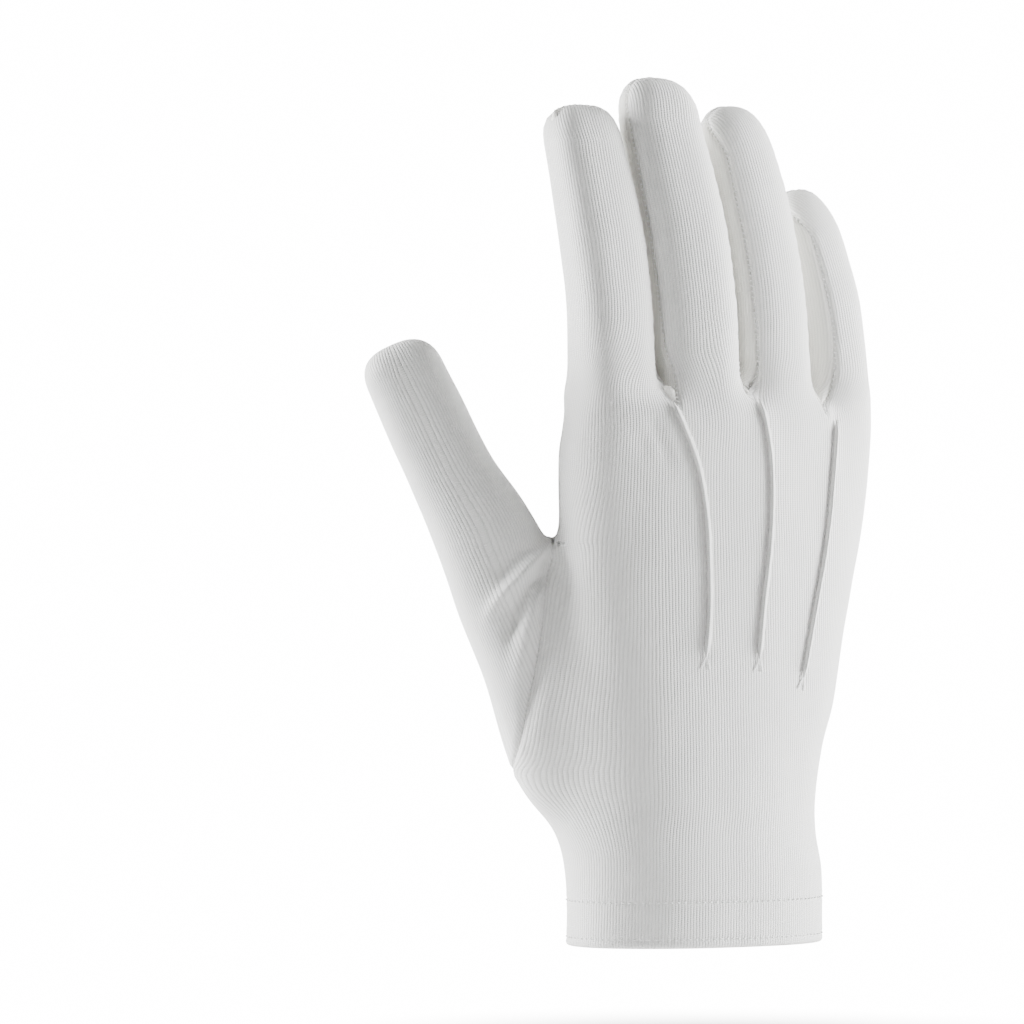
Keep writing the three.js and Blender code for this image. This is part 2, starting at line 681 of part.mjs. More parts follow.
function trankSheet() {
  const sheet = new Sheet();
  patchRound(sheet, [...palmRowsLaid, crotchRow]);
  let from = 0;
  for (const group of groups) {
    const { steps } = group;
    const wrap = group.finger === index || group.finger === little;
    const flip = group.finger === index || group.from[1] === "back" ? 1 : -1;
    const sides = Array.from({ length: steps + 1 }, (_, i) =>
      flip * (1 - (wrap ? 4 * Math.min(i, steps - i) : 2 * i) / steps));
    const foot = sides.map((_, i) => crotchPlaces[(from + i) % columns.length]);
    sheet.patch(stripRows(group, foot, sides));
    from += steps;
  }
  return sheet;
}

// The fourchette between a finger and the next: down the one, over the crotch and up the other.
const fourchetteSteps = 3;
function fourchetteSheet(gap) {
  const [left, right] = [fingers[gap], fingers[gap + 1]];
  const column = (side) => {
    let at = 0;
    for (const group of groups) {
      if (group.from[0] === gap && group.from[1] === side) return at;
      at += group.steps;
    }
    return 0;
  };
  const back = crotchPlaces[column("back")];
  const palm = crotchPlaces[column("palm")];
  const web = Array.from({ length: fourchetteSteps + 1 }, (_, i) => {
    const share = i / fourchetteSteps;
    const place = back.clone().lerp(palm, share);
    if (i === 0 || i === fourchetteSteps) return place;
    return droppedOnWeb(place);
  });
  const arm = (finger, start, end, side) =>
    stripRows({ finger, start, end, steps: fourchetteSteps }, web, web.map(() => side));
  const down = arm(left, left.rightBack, left.rightPalm, 1).slice(1).reverse();
  const up = arm(right, right.leftBack, right.leftPalm, -1);
  return insetSheet([...down, ...up], down.length);
}

// A place of the web between two fingers, found from above
function droppedOnWeb(place) {
  const found = place.clone();
  found.z += palmLength * 0.06;
  while (field(found) > 0 && found.z > palmLength * 0.8) found.z -= 0.2;
  return onForm(found);
}

// A strip with its edges and ends drawn in by the gap that parts it from its neighbours. The gap is
// wider round the fold at the crotch.
function insetSheet(rows, crotch) {
  const sheet = new Sheet();
  const narrowed = rows.map((row) => row.map((place) => place.clone()));
  rows.forEach((row, r) => {
    const last = row.length - 1;
    const inset = pieceGap * (1.3 + 3 * smooth(1 - Math.abs(r - crotch) / 3));
    for (const [edge, next] of [[0, 1], [last, last - 1]]) {
      const way = row[next].clone().sub(row[edge]);
      if (way.length() > 2 * pieceGap) narrowed[r][edge].addScaledVector(way.normalize(), inset);
    }
  });
  for (const [end, next] of [[0, 1], [rows.length - 1, rows.length - 2]]) {
    const middle = rows[next][0].clone().lerp(rows[next][rows[next].length - 1], 0.5);
    const way = middle.sub(rows[end][0]).normalize();
    for (const place of narrowed[end]) place.addScaledVector(way, 4 * pieceGap);
  }
  sheet.patch(narrowed);
  return sheet;
}

// A closed loop on the cloth moved sideways on it, to the side where the given place lies.
function movedLoop(loop, distance, towards) {
  return loop.map((place, i) => {
    const along = loop[(i + 1) % loop.length].clone().sub(loop[(i - 1 + loop.length) % loop.length]);
    const side = new THREE.Vector3().crossVectors(along, fieldNormal(place)).normalize();
    if (side.dot(towards.clone().sub(place)) < 0) side.negate();
    return place.clone().addScaledVector(side, distance);
  });
}

// The edge of a slit in the trank as a loop: from its top down the one side and up the other
function slitLoop(column, bottom, top) {
  const rows = palmRowsLaid.filter((_, i) => palmLevels[i] > bottom - 1e-6 && palmLevels[i] < top + 1e-6);
  const inner = rows.slice(1, -1);
  return [
    rows[rows.length - 1].before[column], ...inner.map((row) => row.before[column]).reverse(),
    rows[0].before[column], ...inner.map((row) => row.after[column]),
  ];
}

// The thumb: from its seam in the trank to its tip
function thumbPoint(along, angle) {
  const section = thumbSection(along);
  const power = 2 / thumbTip.square;
  const round = (value) => Math.sign(value) * Math.abs(value) ** power;
  return thumbStart.clone().addScaledVector(thumbAxis, along)
    .addScaledVector(thumbSide, section.offset + section.halfBreadth * round(Math.cos(angle)))
    .addScaledVector(thumbDeep, -section.halfDepth * round(Math.sin(angle)));
}

const thumbClear = 0.52; // the thumb stands free of the palm from this share of its length
function thumbSheet() {
  const edge = slitLoop(thumbColumn, seamBottom, seamTop);
  const first = thumbLength * thumbClear;
  const middle = thumbPoint(first, 0).lerp(thumbPoint(first, Math.PI), 0.5);
  const seam = movedLoop(edge, 1.5 * pieceGap, middle);
  seam.push(seam[0]);
  const angles = seam.map((_, i) => (i / edge.length) * 2 * Math.PI);
  const ringAt = (along) => angles.map((angle) => thumbPoint(along, angle));
  const dome = thumbLength - thumbTip.length * thumbBreadth;
  const base = ringAt(first);
  const rows = [seam];
  for (const share of [0.2, 0.4, 0.6, 0.8]) {
    rows.push(seam.map((place, i) => onForm(place.clone().lerp(base[i], share))));
  }
  for (const along of [first, ...between(first, dome, 6)]) rows.push(ringAt(along).map((place) => onForm(place)));
  const top = thumbPoint(thumbLength, 0).lerp(thumbPoint(thumbLength, Math.PI), 0.5);
  const rim = ringAt(dome);
  for (const share of [0.4, 0.7, 0.9]) rows.push(rim.map((place) => onForm(place.clone().lerp(top, share))));
  rows.push(angles.map(() => onForm(top)));
  const sheet = new Sheet();
  sheet.patch(rows);
  return sheet;
}

// The hem's cloth, turned in at the cuff, follows the trank with its flaps.
function hemSheet() {
  const sheet = new Sheet();
  patchRound(sheet, palmRowsLaid.filter((_, i) => palmLevels[i] <= hemHeight));
  return sheet;
}

// The vent's facing: an arch of cloth behind the hole.
function facingSheet() {
  const steps = 12;
  const middle = lerp(holeBottom, ventHeight, 0.4);
  const rows = [0.12, 0.55, 1].map((out) =>
    Array.from({ length: steps + 1 }, (_, i) => {
      const angle = lerp(-0.12, 1.12, i / steps) * Math.PI;
      const reach = facingReach * out;
      const x = ventMiddle + Math.cos(angle) * (ventOpening / 2 + reach);
      const height = middle + Math.sin(angle) * (ventHeight - middle + reach);
      const place = onForm(new THREE.Vector3(x, cuffDepth / 2, height));
      const lift = flapLift(place.x, height, Math.cos(angle) > 0);
      return place.addScaledVector(fieldNormal(place).normalize(), lift);
    }),
  );
  const sheet = new Sheet();
  sheet.patch(rows);
  return sheet;
}

// A closed tube along a loop of places, or a ridge whose ends are capped
function sweep(places, profile, closed) {
  const points = [];
  const faces = [];
  const count = profile.length;
  places.forEach((place, i) => {
    const next = places[closed ? (i + 1) % places.length : Math.min(i + 1, places.length - 1)];
    const last = places[closed ? (i - 1 + places.length) % places.length : Math.max(i - 1, 0)];
    const forward = next.clone().sub(last).normalize();
    const out = fieldNormal(place).normalize();
    const side = new THREE.Vector3().crossVectors(forward, out).normalize();
    const fade = closed ? 1 : clamp(0.45 + Math.min(i, places.length - 1 - i) * 0.55, 0, 1);
    for (const [across, high] of profile) {
      points.push(place.clone().addScaledVector(side, across * fade).addScaledVector(out, high));
    }
  });
  const rings = closed ? places.length : places.length - 1;
  for (let i = 0; i < rings; i += 1) {
    for (let j = 0; j < count; j += 1) {
      const a = i * count + j;
      const b = i * count + ((j + 1) % count);
      const c = ((i + 1) % places.length) * count + ((j + 1) % count);
      const d = ((i + 1) % places.length) * count + j;
      faces.push([a, b, c], [a, c, d]);
    }
  }
  if (!closed) {
    const end = (places.length - 1) * count;
    for (let j = 2; j < count; j += 1) faces.push([0, j, j - 1], [end, end + j - 1, end + j]);
  }
  return solidGeometry(points, faces);
}

// The rolled rim of the vent's hole
function bindingGeometry() {
  const edge = slitLoop(ventColumn, holeBottom, ventHeight);
  const centre = edge.reduce((sum, place) => sum.add(place), new THREE.Vector3()).divideScalar(edge.length);
  const loop = movedLoop(edge, bindingThickness / 2 + 2 * pieceGap, centre);
  const places = loop.map((place) => place.clone().addScaledVector(fieldNormal(place).normalize(), -clothWall / 2));
  const sides = 6;
  const profile = Array.from({ length: sides }, (_, i) => {
    const turn = (i / sides) * 2 * Math.PI;
    return [(bindingThickness / 2) * Math.cos(turn), (bindingThickness / 2) * Math.sin(turn)];
  });
  return sweep(places, profile, true);
}

// The three raised tucks on the back, as seen: places across and up, from the crotches to the wrist.
const tucks = [
  [[-0.068, 0.975], [-0.02, 0.92], [0.012, 0.86], [0.032, 0.78], [0.038, 0.7], [0.041, 0.6], [0.028, 0.525]],
  [[0.186, 0.98], [0.208, 0.94], [0.223, 0.86], [0.222, 0.78], [0.212, 0.7], [0.195, 0.6], [0.183, 0.52]],
  [[0.42, 0.95], [0.418, 0.91], [0.41, 0.84], [0.396, 0.76], [0.376, 0.68], [0.345, 0.58], [0.316, 0.485]],
];
function tuckGeometry(line) {
  const places = [];
  for (let i = 1; i < line.length; i += 1) {
    for (const share of i === 1 ? [0, 0.5, 1] : [0.5, 1]) {
      const across = lerp(line[i - 1][0], line[i][0], share) * knuckleBreadth;
      const up = lerp(line[i - 1][1], line[i][1], share) * palmLength;
      places.push(seen(across, up, "back"));
    }
  }
  const foot = pieceGap * 1.2;
  const half = tuckBreadth / 2;
  const profile = [
    [-half, foot], [-half * 0.5, foot + tuckHeight], [half * 0.5, foot + tuckHeight], [half, foot],
  ];
  return sweep(places, profile, false);
}

// The press stud: its cap on the over flap and its hidden shank with the plate inside
const wasm = await Module();
wasm.setup();

function solidOf(geometry) {
  const bare = geometry.index ? geometry.toNonIndexed() : geometry.clone();
  bare.deleteAttribute("normal");
  bare.deleteAttribute("uv");
  const merged = mergeVertices(bare, 1e-4);
  return new wasm.Manifold(new wasm.Mesh({
    numProp: 3,
    vertProperties: merged.attributes.position.array,
    triVerts: new Uint32Array(merged.index.array),
  }));
}

function geometryOf(solid) {
  const mesh = solid.getMesh();
  const geometry = new THREE.BufferGeometry();
  geometry.setAttribute("position", new THREE.BufferAttribute(new Float32Array(mesh.vertProperties), 3));
  geometry.setIndex(new THREE.BufferAttribute(new Uint32Array(mesh.triVerts), 1));
  return geometry;
}

const snapSeat = onForm(new THREE.Vector3(ventMiddle + snapAside, cuffDepth / 2, snapUp));
const snapOut = fieldNormal(snapSeat).normalize();
snapSeat.addScaledVector(snapOut, flapLift(snapSeat.x, snapUp, true));
const turned = (profile, sides) => {
  const geometry = new THREE.LatheGeometry(profile.map(([r, h]) => new THREE.Vector2(r, h)), sides);
  const turn = new THREE.Quaternion().setFromUnitVectors(new THREE.Vector3(0, 1, 0), snapOut);
  return geometry.applyQuaternion(turn).translate(snapSeat.x, snapSeat.y, snapSeat.z);
};
const capRadius = snapDiameter / 2;
const capSides = 28;
const shankSides = 16;
const capGeometry = () => turned([
  [0, pieceGap], [capRadius * 0.97, pieceGap], [capRadius, pieceGap + snapHeight * 0.35],
  [capRadius * 0.93, pieceGap + snapHeight * 0.8], [capRadius * 0.6, pieceGap + snapHeight], [0, pieceGap + snapHeight],
], capSides);
const stackDepth = flapStep + clothWall + liningWall + 3 * pieceGap;
const plateRadius = snapDiameter * 0.36;
const postProfile = [
  [0, -stackDepth - snapPlateHeight], [plateRadius, -stackDepth - snapPlateHeight], [plateRadius, -stackDepth],
  [snapShank / 2, -stackDepth], [snapShank / 2, 0], [0, 0],
];
const boreRadius = snapShank / 2 + pieceGap;
const boreProfile = [[0, -2 * stackDepth], [boreRadius, -2 * stackDepth], [boreRadius, stackDepth], [0, stackDepth]];
const bore = solidOf(turned(boreProfile, shankSides));
const bored = (geometry) => geometryOf(solidOf(geometry).subtract(bore));

const cloth = { color: "#f4f4f0", roughness: 0.85, metalness: 0 };
const ivory = { color: "#ecebdf", roughness: 0.9, metalness: 0 };
const satin = { color: "#d3dad3", roughness: 0.4, metalness: 0.3 };

const glove = new THREE.Group();
function add(name, geometry, finish) {
  const mesh = new THREE.Mesh(geometry, new THREE.MeshStandardMaterial(finish));
  mesh.name = name;
  glove.add(mesh);
}

add("trank", bored(thicken(trankSheet(), clothWall)), cloth);
add("thumb", thicken(thumbSheet(), clothWall), cloth);
["fourchette_index_middle", "fourchette_middle_ring", "fourchette_ring_little"].forEach((name, gap) => {
  add(name, thicken(fourchetteSheet(gap), clothWall), ivory);
});
tucks.forEach((line, i) => add(`back_point_${i + 1}`, tuckGeometry(line), cloth));
add("hem_turn", bored(thicken(hemSheet(), liningWall, clothWall + pieceGap)), cloth);
add("vent_facing", thicken(facingSheet(), liningWall, clothWall + 2 * pieceGap), cloth);
add("vent_binding", bindingGeometry(), cloth);
add("snap_cap", capGeometry(), satin);
add("snap_post", turned(postProfile, shankSides), satin);

export default glove;
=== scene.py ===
"""Dresses the packed glove as white ribbed knit, with its seams, folds, stitches and press stud."""
import math

import bmesh
import bpy
import numpy as np
from bpy.props import FloatProperty, FloatVectorProperty, IntProperty, PointerProperty
from mathutils.kdtree import KDTree
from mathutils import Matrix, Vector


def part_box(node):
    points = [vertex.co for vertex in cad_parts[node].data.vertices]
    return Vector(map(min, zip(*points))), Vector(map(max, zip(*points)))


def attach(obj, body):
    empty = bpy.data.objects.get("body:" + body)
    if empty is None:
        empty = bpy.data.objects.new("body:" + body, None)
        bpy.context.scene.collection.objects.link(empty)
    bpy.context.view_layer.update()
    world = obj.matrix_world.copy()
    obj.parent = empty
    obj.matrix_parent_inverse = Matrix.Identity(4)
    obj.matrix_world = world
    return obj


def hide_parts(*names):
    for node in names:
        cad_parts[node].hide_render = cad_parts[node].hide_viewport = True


bl_info = {
    "name": "White parade glove",
    "version": (1, 0, 0),
    "blender": (4, 5, 0),
    "location": "3D View > Sidebar > Glove",
    "description": "Dresses the glove's frame in ribbed knit with seams, folds, stitches and a stud",
    "category": "Object",
}

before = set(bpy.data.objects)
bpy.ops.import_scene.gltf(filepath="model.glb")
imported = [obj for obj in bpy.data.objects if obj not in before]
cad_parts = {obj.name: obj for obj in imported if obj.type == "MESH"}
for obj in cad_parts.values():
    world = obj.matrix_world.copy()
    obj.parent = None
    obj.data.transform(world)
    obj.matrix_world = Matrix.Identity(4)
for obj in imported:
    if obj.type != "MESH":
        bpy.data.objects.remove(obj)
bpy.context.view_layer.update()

# Lengths in this file are millimetres until a mesh is made.
MILLIMETRE = 0.001

# The glove's form, with the same driving sizes as its frame
palm_length = 152.0
knuckle_breadth = 94.4
palm_depth = 30.0
cuff_breadth = 76.0
cuff_depth = 48.0
palm_lean = 7.6
palm_top_depth = 12.0
finger_depth = 20.0
finger_curl = 13.6
finger_sway = 4.0
middle_breadth = 23.6
thumb_length = 126.7
thumb_breadth = 23.0
thumb_depth = 20.0
thumb_spread = math.radians(22.5)
cloth_wall = 1.2
lining_wall = 1.0
piece_gap = 0.3
hem_height = 16.0
hem_column = 0.72
vent_height = 55.0
vent_opening = 11.0
vent_middle = -8.0
over_lap = 5.5
under_lap = 13.0
facing_reach = 8.0
flap_step = cloth_wall + lining_wall + 2 * piece_gap + 0.2
flap_fade = 10.0
hole_bottom = vent_height * 0.64
arch_foot = hole_bottom + (vent_height - hole_bottom) * 0.4
stud_up = 12.2
stud_across = vent_middle + 9.7
stud_radius = 6.45

# The seams are laid out as seen by an eye that looks at the back from the thumb's side.
view_turn = math.radians(30)
view_cos = math.cos(view_turn)
view_sin = math.sin(view_turn)


def from_view(across, depth, up):
    """A place given across, away from the eye and up, in the glove's own axes."""
    across, depth, up = np.broadcast_arrays(across, depth, up)
    return np.stack([across * view_cos + depth * view_sin, depth * view_cos - across * view_sin, up], -1)


def to_view(places):
    """How far across and how far from the eye places lie."""
    across = places[..., 0] * view_cos - places[..., 1] * view_sin
    depth = places[..., 0] * view_sin + places[..., 1] * view_cos
    return across, depth


def smooth(share):
    share = np.clip(share, 0.0, 1.0)
    return share * share * (3 - 2 * share)


def mix(a, b, share):
    return a + (b - a) * share


class Table:
    """Rows of sizes, read between the rows of the first column along a smooth curve."""

    def __init__(self, names, rows):
        values = np.array(rows, dtype=float)
        self.keys = values[:, 0]
        self.columns = {}
        last = len(rows) - 1
        before = np.maximum(np.arange(last + 1) - 1, 0)
        after = np.minimum(np.arange(last + 1) + 1, last)
        for i, name in enumerate(names[1:], 1):
            column = values[:, i]
            slope = (column[after] - column[before]) / (self.keys[after] - self.keys[before])
            self.columns[name] = (column, slope)

    def read(self, name, at):
        column, slope = self.columns[name]
        at = np.clip(at, self.keys[0], self.keys[-1])
        i = np.clip(np.searchsorted(self.keys[1:], at, "left"), 0, len(self.keys) - 2)
        span = self.keys[i + 1] - self.keys[i]
        t = (at - self.keys[i]) / span
        rise = (2 * t**3 - 3 * t**2 + 1) * column[i] + (3 * t**2 - 2 * t**3) * column[i + 1]
        return rise + (t**3 - 2 * t**2 + t) * span * slope[i] + (t**3 - t**2) * span * slope[i + 1]


palm_table = Table(["up", "widen", "flatten", "lean", "square", "arch"], [
    (0.0, 0.0, 0.0, 0.0, 2.2, 0.0),
    (0.13, -0.03, 0.06, 0.0, 2.2, 0.0),
    (0.2, -0.13, 0.17, -0.12, 2.2, 0.0),
    (0.26, -0.14, 0.25, -0.08, 2.2, 0.01),
    (0.35, 0.02, 0.33, 0.08, 2.3, 0.03),
    (0.43, 0.29, 0.44, 0.32, 2.4, 0.05),
    (0.55, 0.54, 0.56, 0.55, 2.5, 0.07),
    (0.65, 0.77, 0.67, 0.76, 2.6, 0.09),
    (0.76, 0.93, 0.78, 0.88, 2.7, 0.11),
    (0.87, 1.01, 0.89, 0.96, 2.8, 0.13),
    (0.95, 1.0, 1.0, 1.0, 2.9, 0.14),
])
arch_tilt = 0.4

finger_table = Table(["up", "breadth", "depth", "curl", "sway"], [
    (-0.4, 1.02, 1.2, 0.0, 0.0),
    (0.0, 1.03, 1.22, 0.0, 0.0),
    (0.12, 1.0, 1.13, 0.03, 0.0),
    (0.3, 0.99, 1.04, 0.1, 0.03),
    (0.5, 1.0, 1.0, 0.25, 0.25),
    (0.7, 0.98, 0.97, 0.5, 0.65),
    (0.86, 0.92, 0.92, 0.76, 0.95),
    (1.0, 0.84, 0.84, 1.0, 1.0),
])

thumb_table = Table(["along", "offset", "breadth", "depth"], [
    (0.0, 0.0, 1.52, 1.4),
    (0.1, 0.0, 1.46, 1.5),
    (0.26, 0.0, 1.28, 1.42),
    (0.4, 0.02, 1.28, 1.32),
    (0.55, 0.04, 1.2, 1.22),
    (0.7, -0.05, 1.05, 1.1),
    (0.86, -0.1, 1.0, 0.98),
    (1.0, -0.13, 0.95, 0.88),
])
thumb_tip_length = 0.44
thumb_girth = 78.0
thumb_square = 2.7
thumb_heel_from, thumb_heel_length = 13.0, 30.0


class Finger:
    """One finger's sizes, with the angles of its side strips."""

    def __init__(self, length, breadth, across, rise, root, tip, square, roll, sway, angles):
        self.length, self.breadth, self.across, self.rise = length, breadth, across, rise
        self.root, self.tip, self.square, self.roll = root, tip, square, math.radians(roll)
        self.sway = sway
        self.right_back, self.right_palm, self.left_back, self.left_palm = angles
        self.top = root * palm_length + length
        self.dome_up = 1 - tip * breadth / length


index = Finger(81.6, 22.4, -0.354, 0.05, 0.995, 0.5, 2.8, 0, 0.8, (22, -62, 0, 0))
middle = Finger(88.4, 23.6, -0.09, -0.017, 1.0, 0.5, 2.8, -6, 1.15, (20, -64, 168, 212))
ring = Finger(82.0, 23.0, 0.178, 0.03, 0.995, 0.62, 2.4, 4, 1.1, (18, -58, 138, 214))
little = Finger(60.0, 19.2, 0.428, 0.15, 0.99, 0.7, 2.3, 8, 0.75, (0, 0, 120, 216))
fingers = [index, middle, ring, little]
finger_foot_from, finger_foot_length = 0.98, 0.3


def box_distance(power, parts, sizes):
    """Distance to a form whose scaled parts make a rounded box of the given power."""
    parts = [np.abs(part) for part in parts]
    rho = np.maximum(sum(part**power for part in parts) ** (1 / power), 1e-6)
    steep = sum(((part / rho) ** (power - 1) / size) ** 2 for part, size in zip(parts, sizes))
    return (rho - 1) / np.sqrt(np.maximum(steep, 1e-9))


def palm_section(height):
    up = height / palm_length
    return (
        palm_lean * palm_table.read("lean", up),
        mix(cuff_breadth, knuckle_breadth, palm_table.read("widen", up)) / 2,
        mix(cuff_depth, palm_depth, palm_table.read("flatten", up)) / 2,
        palm_table.read("square", up),
        palm_table.read("arch", up) * palm_depth,
    )


def palm_field(p):
    centre, half_breadth, half_depth, square, arch = palm_section(p[:, 2])
    side = (p[:, 0] - centre) / half_breadth
    bent = arch * (side * side + arch_tilt * side)
    top = np.maximum((p[:, 2] - (palm_length + 1 - palm_top_depth)) / palm_top_depth, 0)
    parts = [side, (p[:, 1] - bent) / half_depth, top]
    return box_distance(square, parts, [half_breadth, half_depth, palm_top_depth])


def finger_section(finger, height):
    up = (height - finger.root * palm_length) / finger.length
    sway = finger_sway * finger.sway * finger_table.read("sway", up)
    x = palm_lean + finger.across * knuckle_breadth - sway
    y = finger.rise * palm_depth + finger_curl * finger_table.read("curl", up)
    half_breadth = finger.breadth * finger_table.read("breadth", up) / 2
    depth = finger_depth * (finger.breadth / middle_breadth) ** 0.6
    return x, y, half_breadth, depth * finger_table.read("depth", up) / 2


def finger_field(finger, p):
    x, y, half_breadth, half_depth = finger_section(finger, p[:, 2])
    dx = p[:, 0] - x
    dy = p[:, 1] - y
    side = (dx * math.cos(finger.roll) + dy * math.sin(finger.roll)) / half_breadth
    deep = (dy * math.cos(finger.roll) - dx * math.sin(finger.roll)) / half_depth
    dome = finger.tip * finger.breadth
    above = np.maximum((p[:, 2] - (finger.top - dome)) / dome, 0)
    below = np.maximum((finger_foot_from - p[:, 2] / palm_length) / finger_foot_length, 0)
    return box_distance(finger.square, [side, deep, above + below], [half_breadth, half_depth, dome])


thumb_start = from_view(-0.35 * knuckle_breadth, -0.27 * palm_depth, 0.329 * palm_length)
thumb_axis = from_view(-math.sin(thumb_spread), 0.04, math.cos(thumb_spread))
thumb_axis = thumb_axis / np.linalg.norm(thumb_axis)
thumb_side = from_view(math.cos(thumb_spread), 0.0, math.sin(thumb_spread))
thumb_side = thumb_side - thumb_axis * (thumb_side @ thumb_axis)
thumb_side = thumb_side / np.linalg.norm(thumb_side)
thumb_deep = np.cross(thumb_axis, thumb_side)


def thumb_section(along):
    share = along / thumb_length
    return (
        thumb_table.read("offset", share) * thumb_breadth,
        thumb_table.read("breadth", share) * thumb_breadth / 2,
        thumb_table.read("depth", share) * thumb_depth / 2,
    )


def thumb_field(p):
    local = p - thumb_start
    along = local @ thumb_axis
    offset, half_breadth, half_depth = thumb_section(along)
    dome = thumb_tip_length * thumb_breadth
    ends = np.maximum((along - (thumb_length - dome)) / dome, 0)
    ends = ends + np.maximum((thumb_heel_from - along) / thumb_heel_length, 0)
    parts = [(local @ thumb_side - offset) / half_breadth, (local @ thumb_deep) / half_depth, ends]
    return box_distance(thumb_square, parts, [half_breadth, half_depth, dome])


def blend(a, b, reach):
    share = np.maximum(reach - np.abs(a - b), 0) / reach
    return np.minimum(a, b) - share * share * reach / 4


def field(p, only=None):
    """Distance to the glove's form, or to the form with one finger alone."""
    chosen = fingers if only is None else [only]
    hand = finger_field(chosen[0], p)
    for finger in chosen[1:]:
        hand = blend(hand, finger_field(finger, p), 1.0)
    return blend(blend(palm_field(p), hand, 5.0), thumb_field(p), 9.0)


def slope_of(p, only=None):
    """The field's gradient at each place."""
    step = 0.05
    slope = np.empty_like(p)
    for axis in range(3):
        move = np.zeros(3)
        move[axis] = step
        slope[:, axis] = (field(p + move, only) - field(p - move, only)) / (2 * step)
    return slope


def normals_of(places, only=None):
    flat = places.reshape(-1, 3)
    slope = slope_of(flat, only)
    slope /= np.maximum(np.linalg.norm(slope, axis=1, keepdims=True), 1e-9)
    return slope.reshape(places.shape)


def on_form(places, only=None):
    """Moves places to the form's surface."""
    found = np.array(places, dtype=float).reshape(-1, 3)
    active = np.arange(len(found))
    for _ in range(12):
        p = found[active]
        value = field(p, only)
        keep = np.abs(value) > 2e-3
        active, p, value = active[keep], p[keep], value[keep]
        if not len(active):
            break
        slope = slope_of(p, only)
        size = np.maximum((slope**2).sum(1), 0.05)
        found[active] = p + slope * (np.clip(-value, -4, 4) / size)[:, None]
    return found.reshape(np.shape(places))


def seen(across, up, side):
    """The surface as the eye sees it at places of the view, on the back or on the palm's side."""
    across = np.array(across, dtype=float).ravel()
    up = np.broadcast_to(np.array(up, dtype=float).ravel(), across.shape)
    start = -cuff_depth if side == "back" else cuff_depth
    near = np.full(across.shape, start, dtype=float)
    far = near.copy()
    waiting = np.ones(across.shape, dtype=bool)
    for i in range(1, 161):
        near[waiting] = far[waiting]
        far[waiting] = start * (1 - i / 80)
        met = field(from_view(across, far, up)) < 0
        waiting &= ~met
        if not waiting.any():
            break
    for _ in range(18):
        half = (near + far) / 2
        inside = field(from_view(across, half, up)) < 0
        far = np.where(inside, half, far)
        near = np.where(inside, near, half)
    found = from_view(across, near, up)
    if waiting.any():
        found[waiting] = seen(across[waiting] - np.sign(across[waiting]) * 0.5, up[waiting], side)
    return found


def polyline(points, spacing):
    """A chain of places with even spacing through the given ones."""
    points = np.array(points, dtype=float)
    reach = np.concatenate([[0], np.cumsum(np.linalg.norm(np.diff(points, axis=0), axis=1))])
    count = max(int(reach[-1] / spacing), 2)
    at = np.linspace(0, reach[-1], count + 1)
    return np.stack([np.interp(at, reach, points[:, i]) for i in range(points.shape[1])], 1)


def rounded(points, rounds=2):
    """A chain with its corners cut, so that it runs smoothly."""
    points = np.array(points, dtype=float)
    for _ in range(rounds):
        low = points[:-1] * 0.75 + points[1:] * 0.25
        high = points[:-1] * 0.25 + points[1:] * 0.75
        between = np.empty((2 * len(low), points.shape[1]))
        between[0::2], between[1::2] = low, high
        points = np.concatenate([points[:1], between, points[-1:]])
    return points


# The palm's section as places by their share of its way round, from the little finger's side over
# the back, the thumb's side and the palm
def palm_ring(height):
    centre, half_breadth, half_depth, square, arch = palm_section(np.float64(height))
    turn = np.linspace(0, 2 * math.pi, 721)
    side = np.sign(np.cos(turn)) * np.abs(np.cos(turn)) ** (2 / square)
    deep = -np.sign(np.sin(turn)) * np.abs(np.sin(turn)) ** (2 / square)
    x = centre + half_breadth * side
    y = half_depth * deep + arch * (side * side + arch_tilt * side)
    reach = np.concatenate([[0], np.cumsum(np.hypot(np.diff(x), np.diff(y)))])
    return x, y, reach


def ring_places(ring_here, shares):
    x, y, reach = ring_here
    target = np.mod(shares, 1.0) * reach[-1]
    return np.interp(target, reach, x), np.interp(target, reach, y)


crotch_up = np.array([0.987, 1.01, 0.972]) * palm_length


def crotch_across(gap):
    x0, _, half0, _ = finger_section(fingers[gap], np.float64(palm_length))
    x1, _, half1, _ = finger_section(fingers[gap + 1], np.float64(palm_length))
    return (x0 + half0 + x1 - half1) / 2


knuckle_level = palm_length * 0.93
knuckle_ring = palm_ring(knuckle_level)


def share_at(x_wanted, side):
    x, _, reach = knuckle_ring
    half = (len(x) - 1) // 2
    part = slice(0, half + 1) if side == "back" else slice(half, len(x))
    xs, rs = x[part], reach[part]
    order = np.argsort(xs)
    return float(np.interp(x_wanted, xs[order], rs[order])) / reach[-1]


# The trank's columns in six groups round the palm, each with the finger strip that it runs into
group_rows = [
    (index, 14, 84, (0, "back"), (0, "palm"), index.right_back, index.right_palm + 360),
    (middle, 4, 26, (0, "palm"), (1, "palm"), middle.left_palm, middle.right_palm + 360),
    (ring, 4, 26, (1, "palm"), (2, "palm"), ring.left_palm, ring.right_palm + 360),
    (little, 12, 64, (2, "palm"), (2, "back"), little.left_palm, little.left_back + 360),
    (ring, 4, 26, (2, "back"), (1, "back"), ring.right_back, ring.left_back),
    (middle, 4, 26, (1, "back"), (0, "back"), middle.right_back, middle.left_back),
]


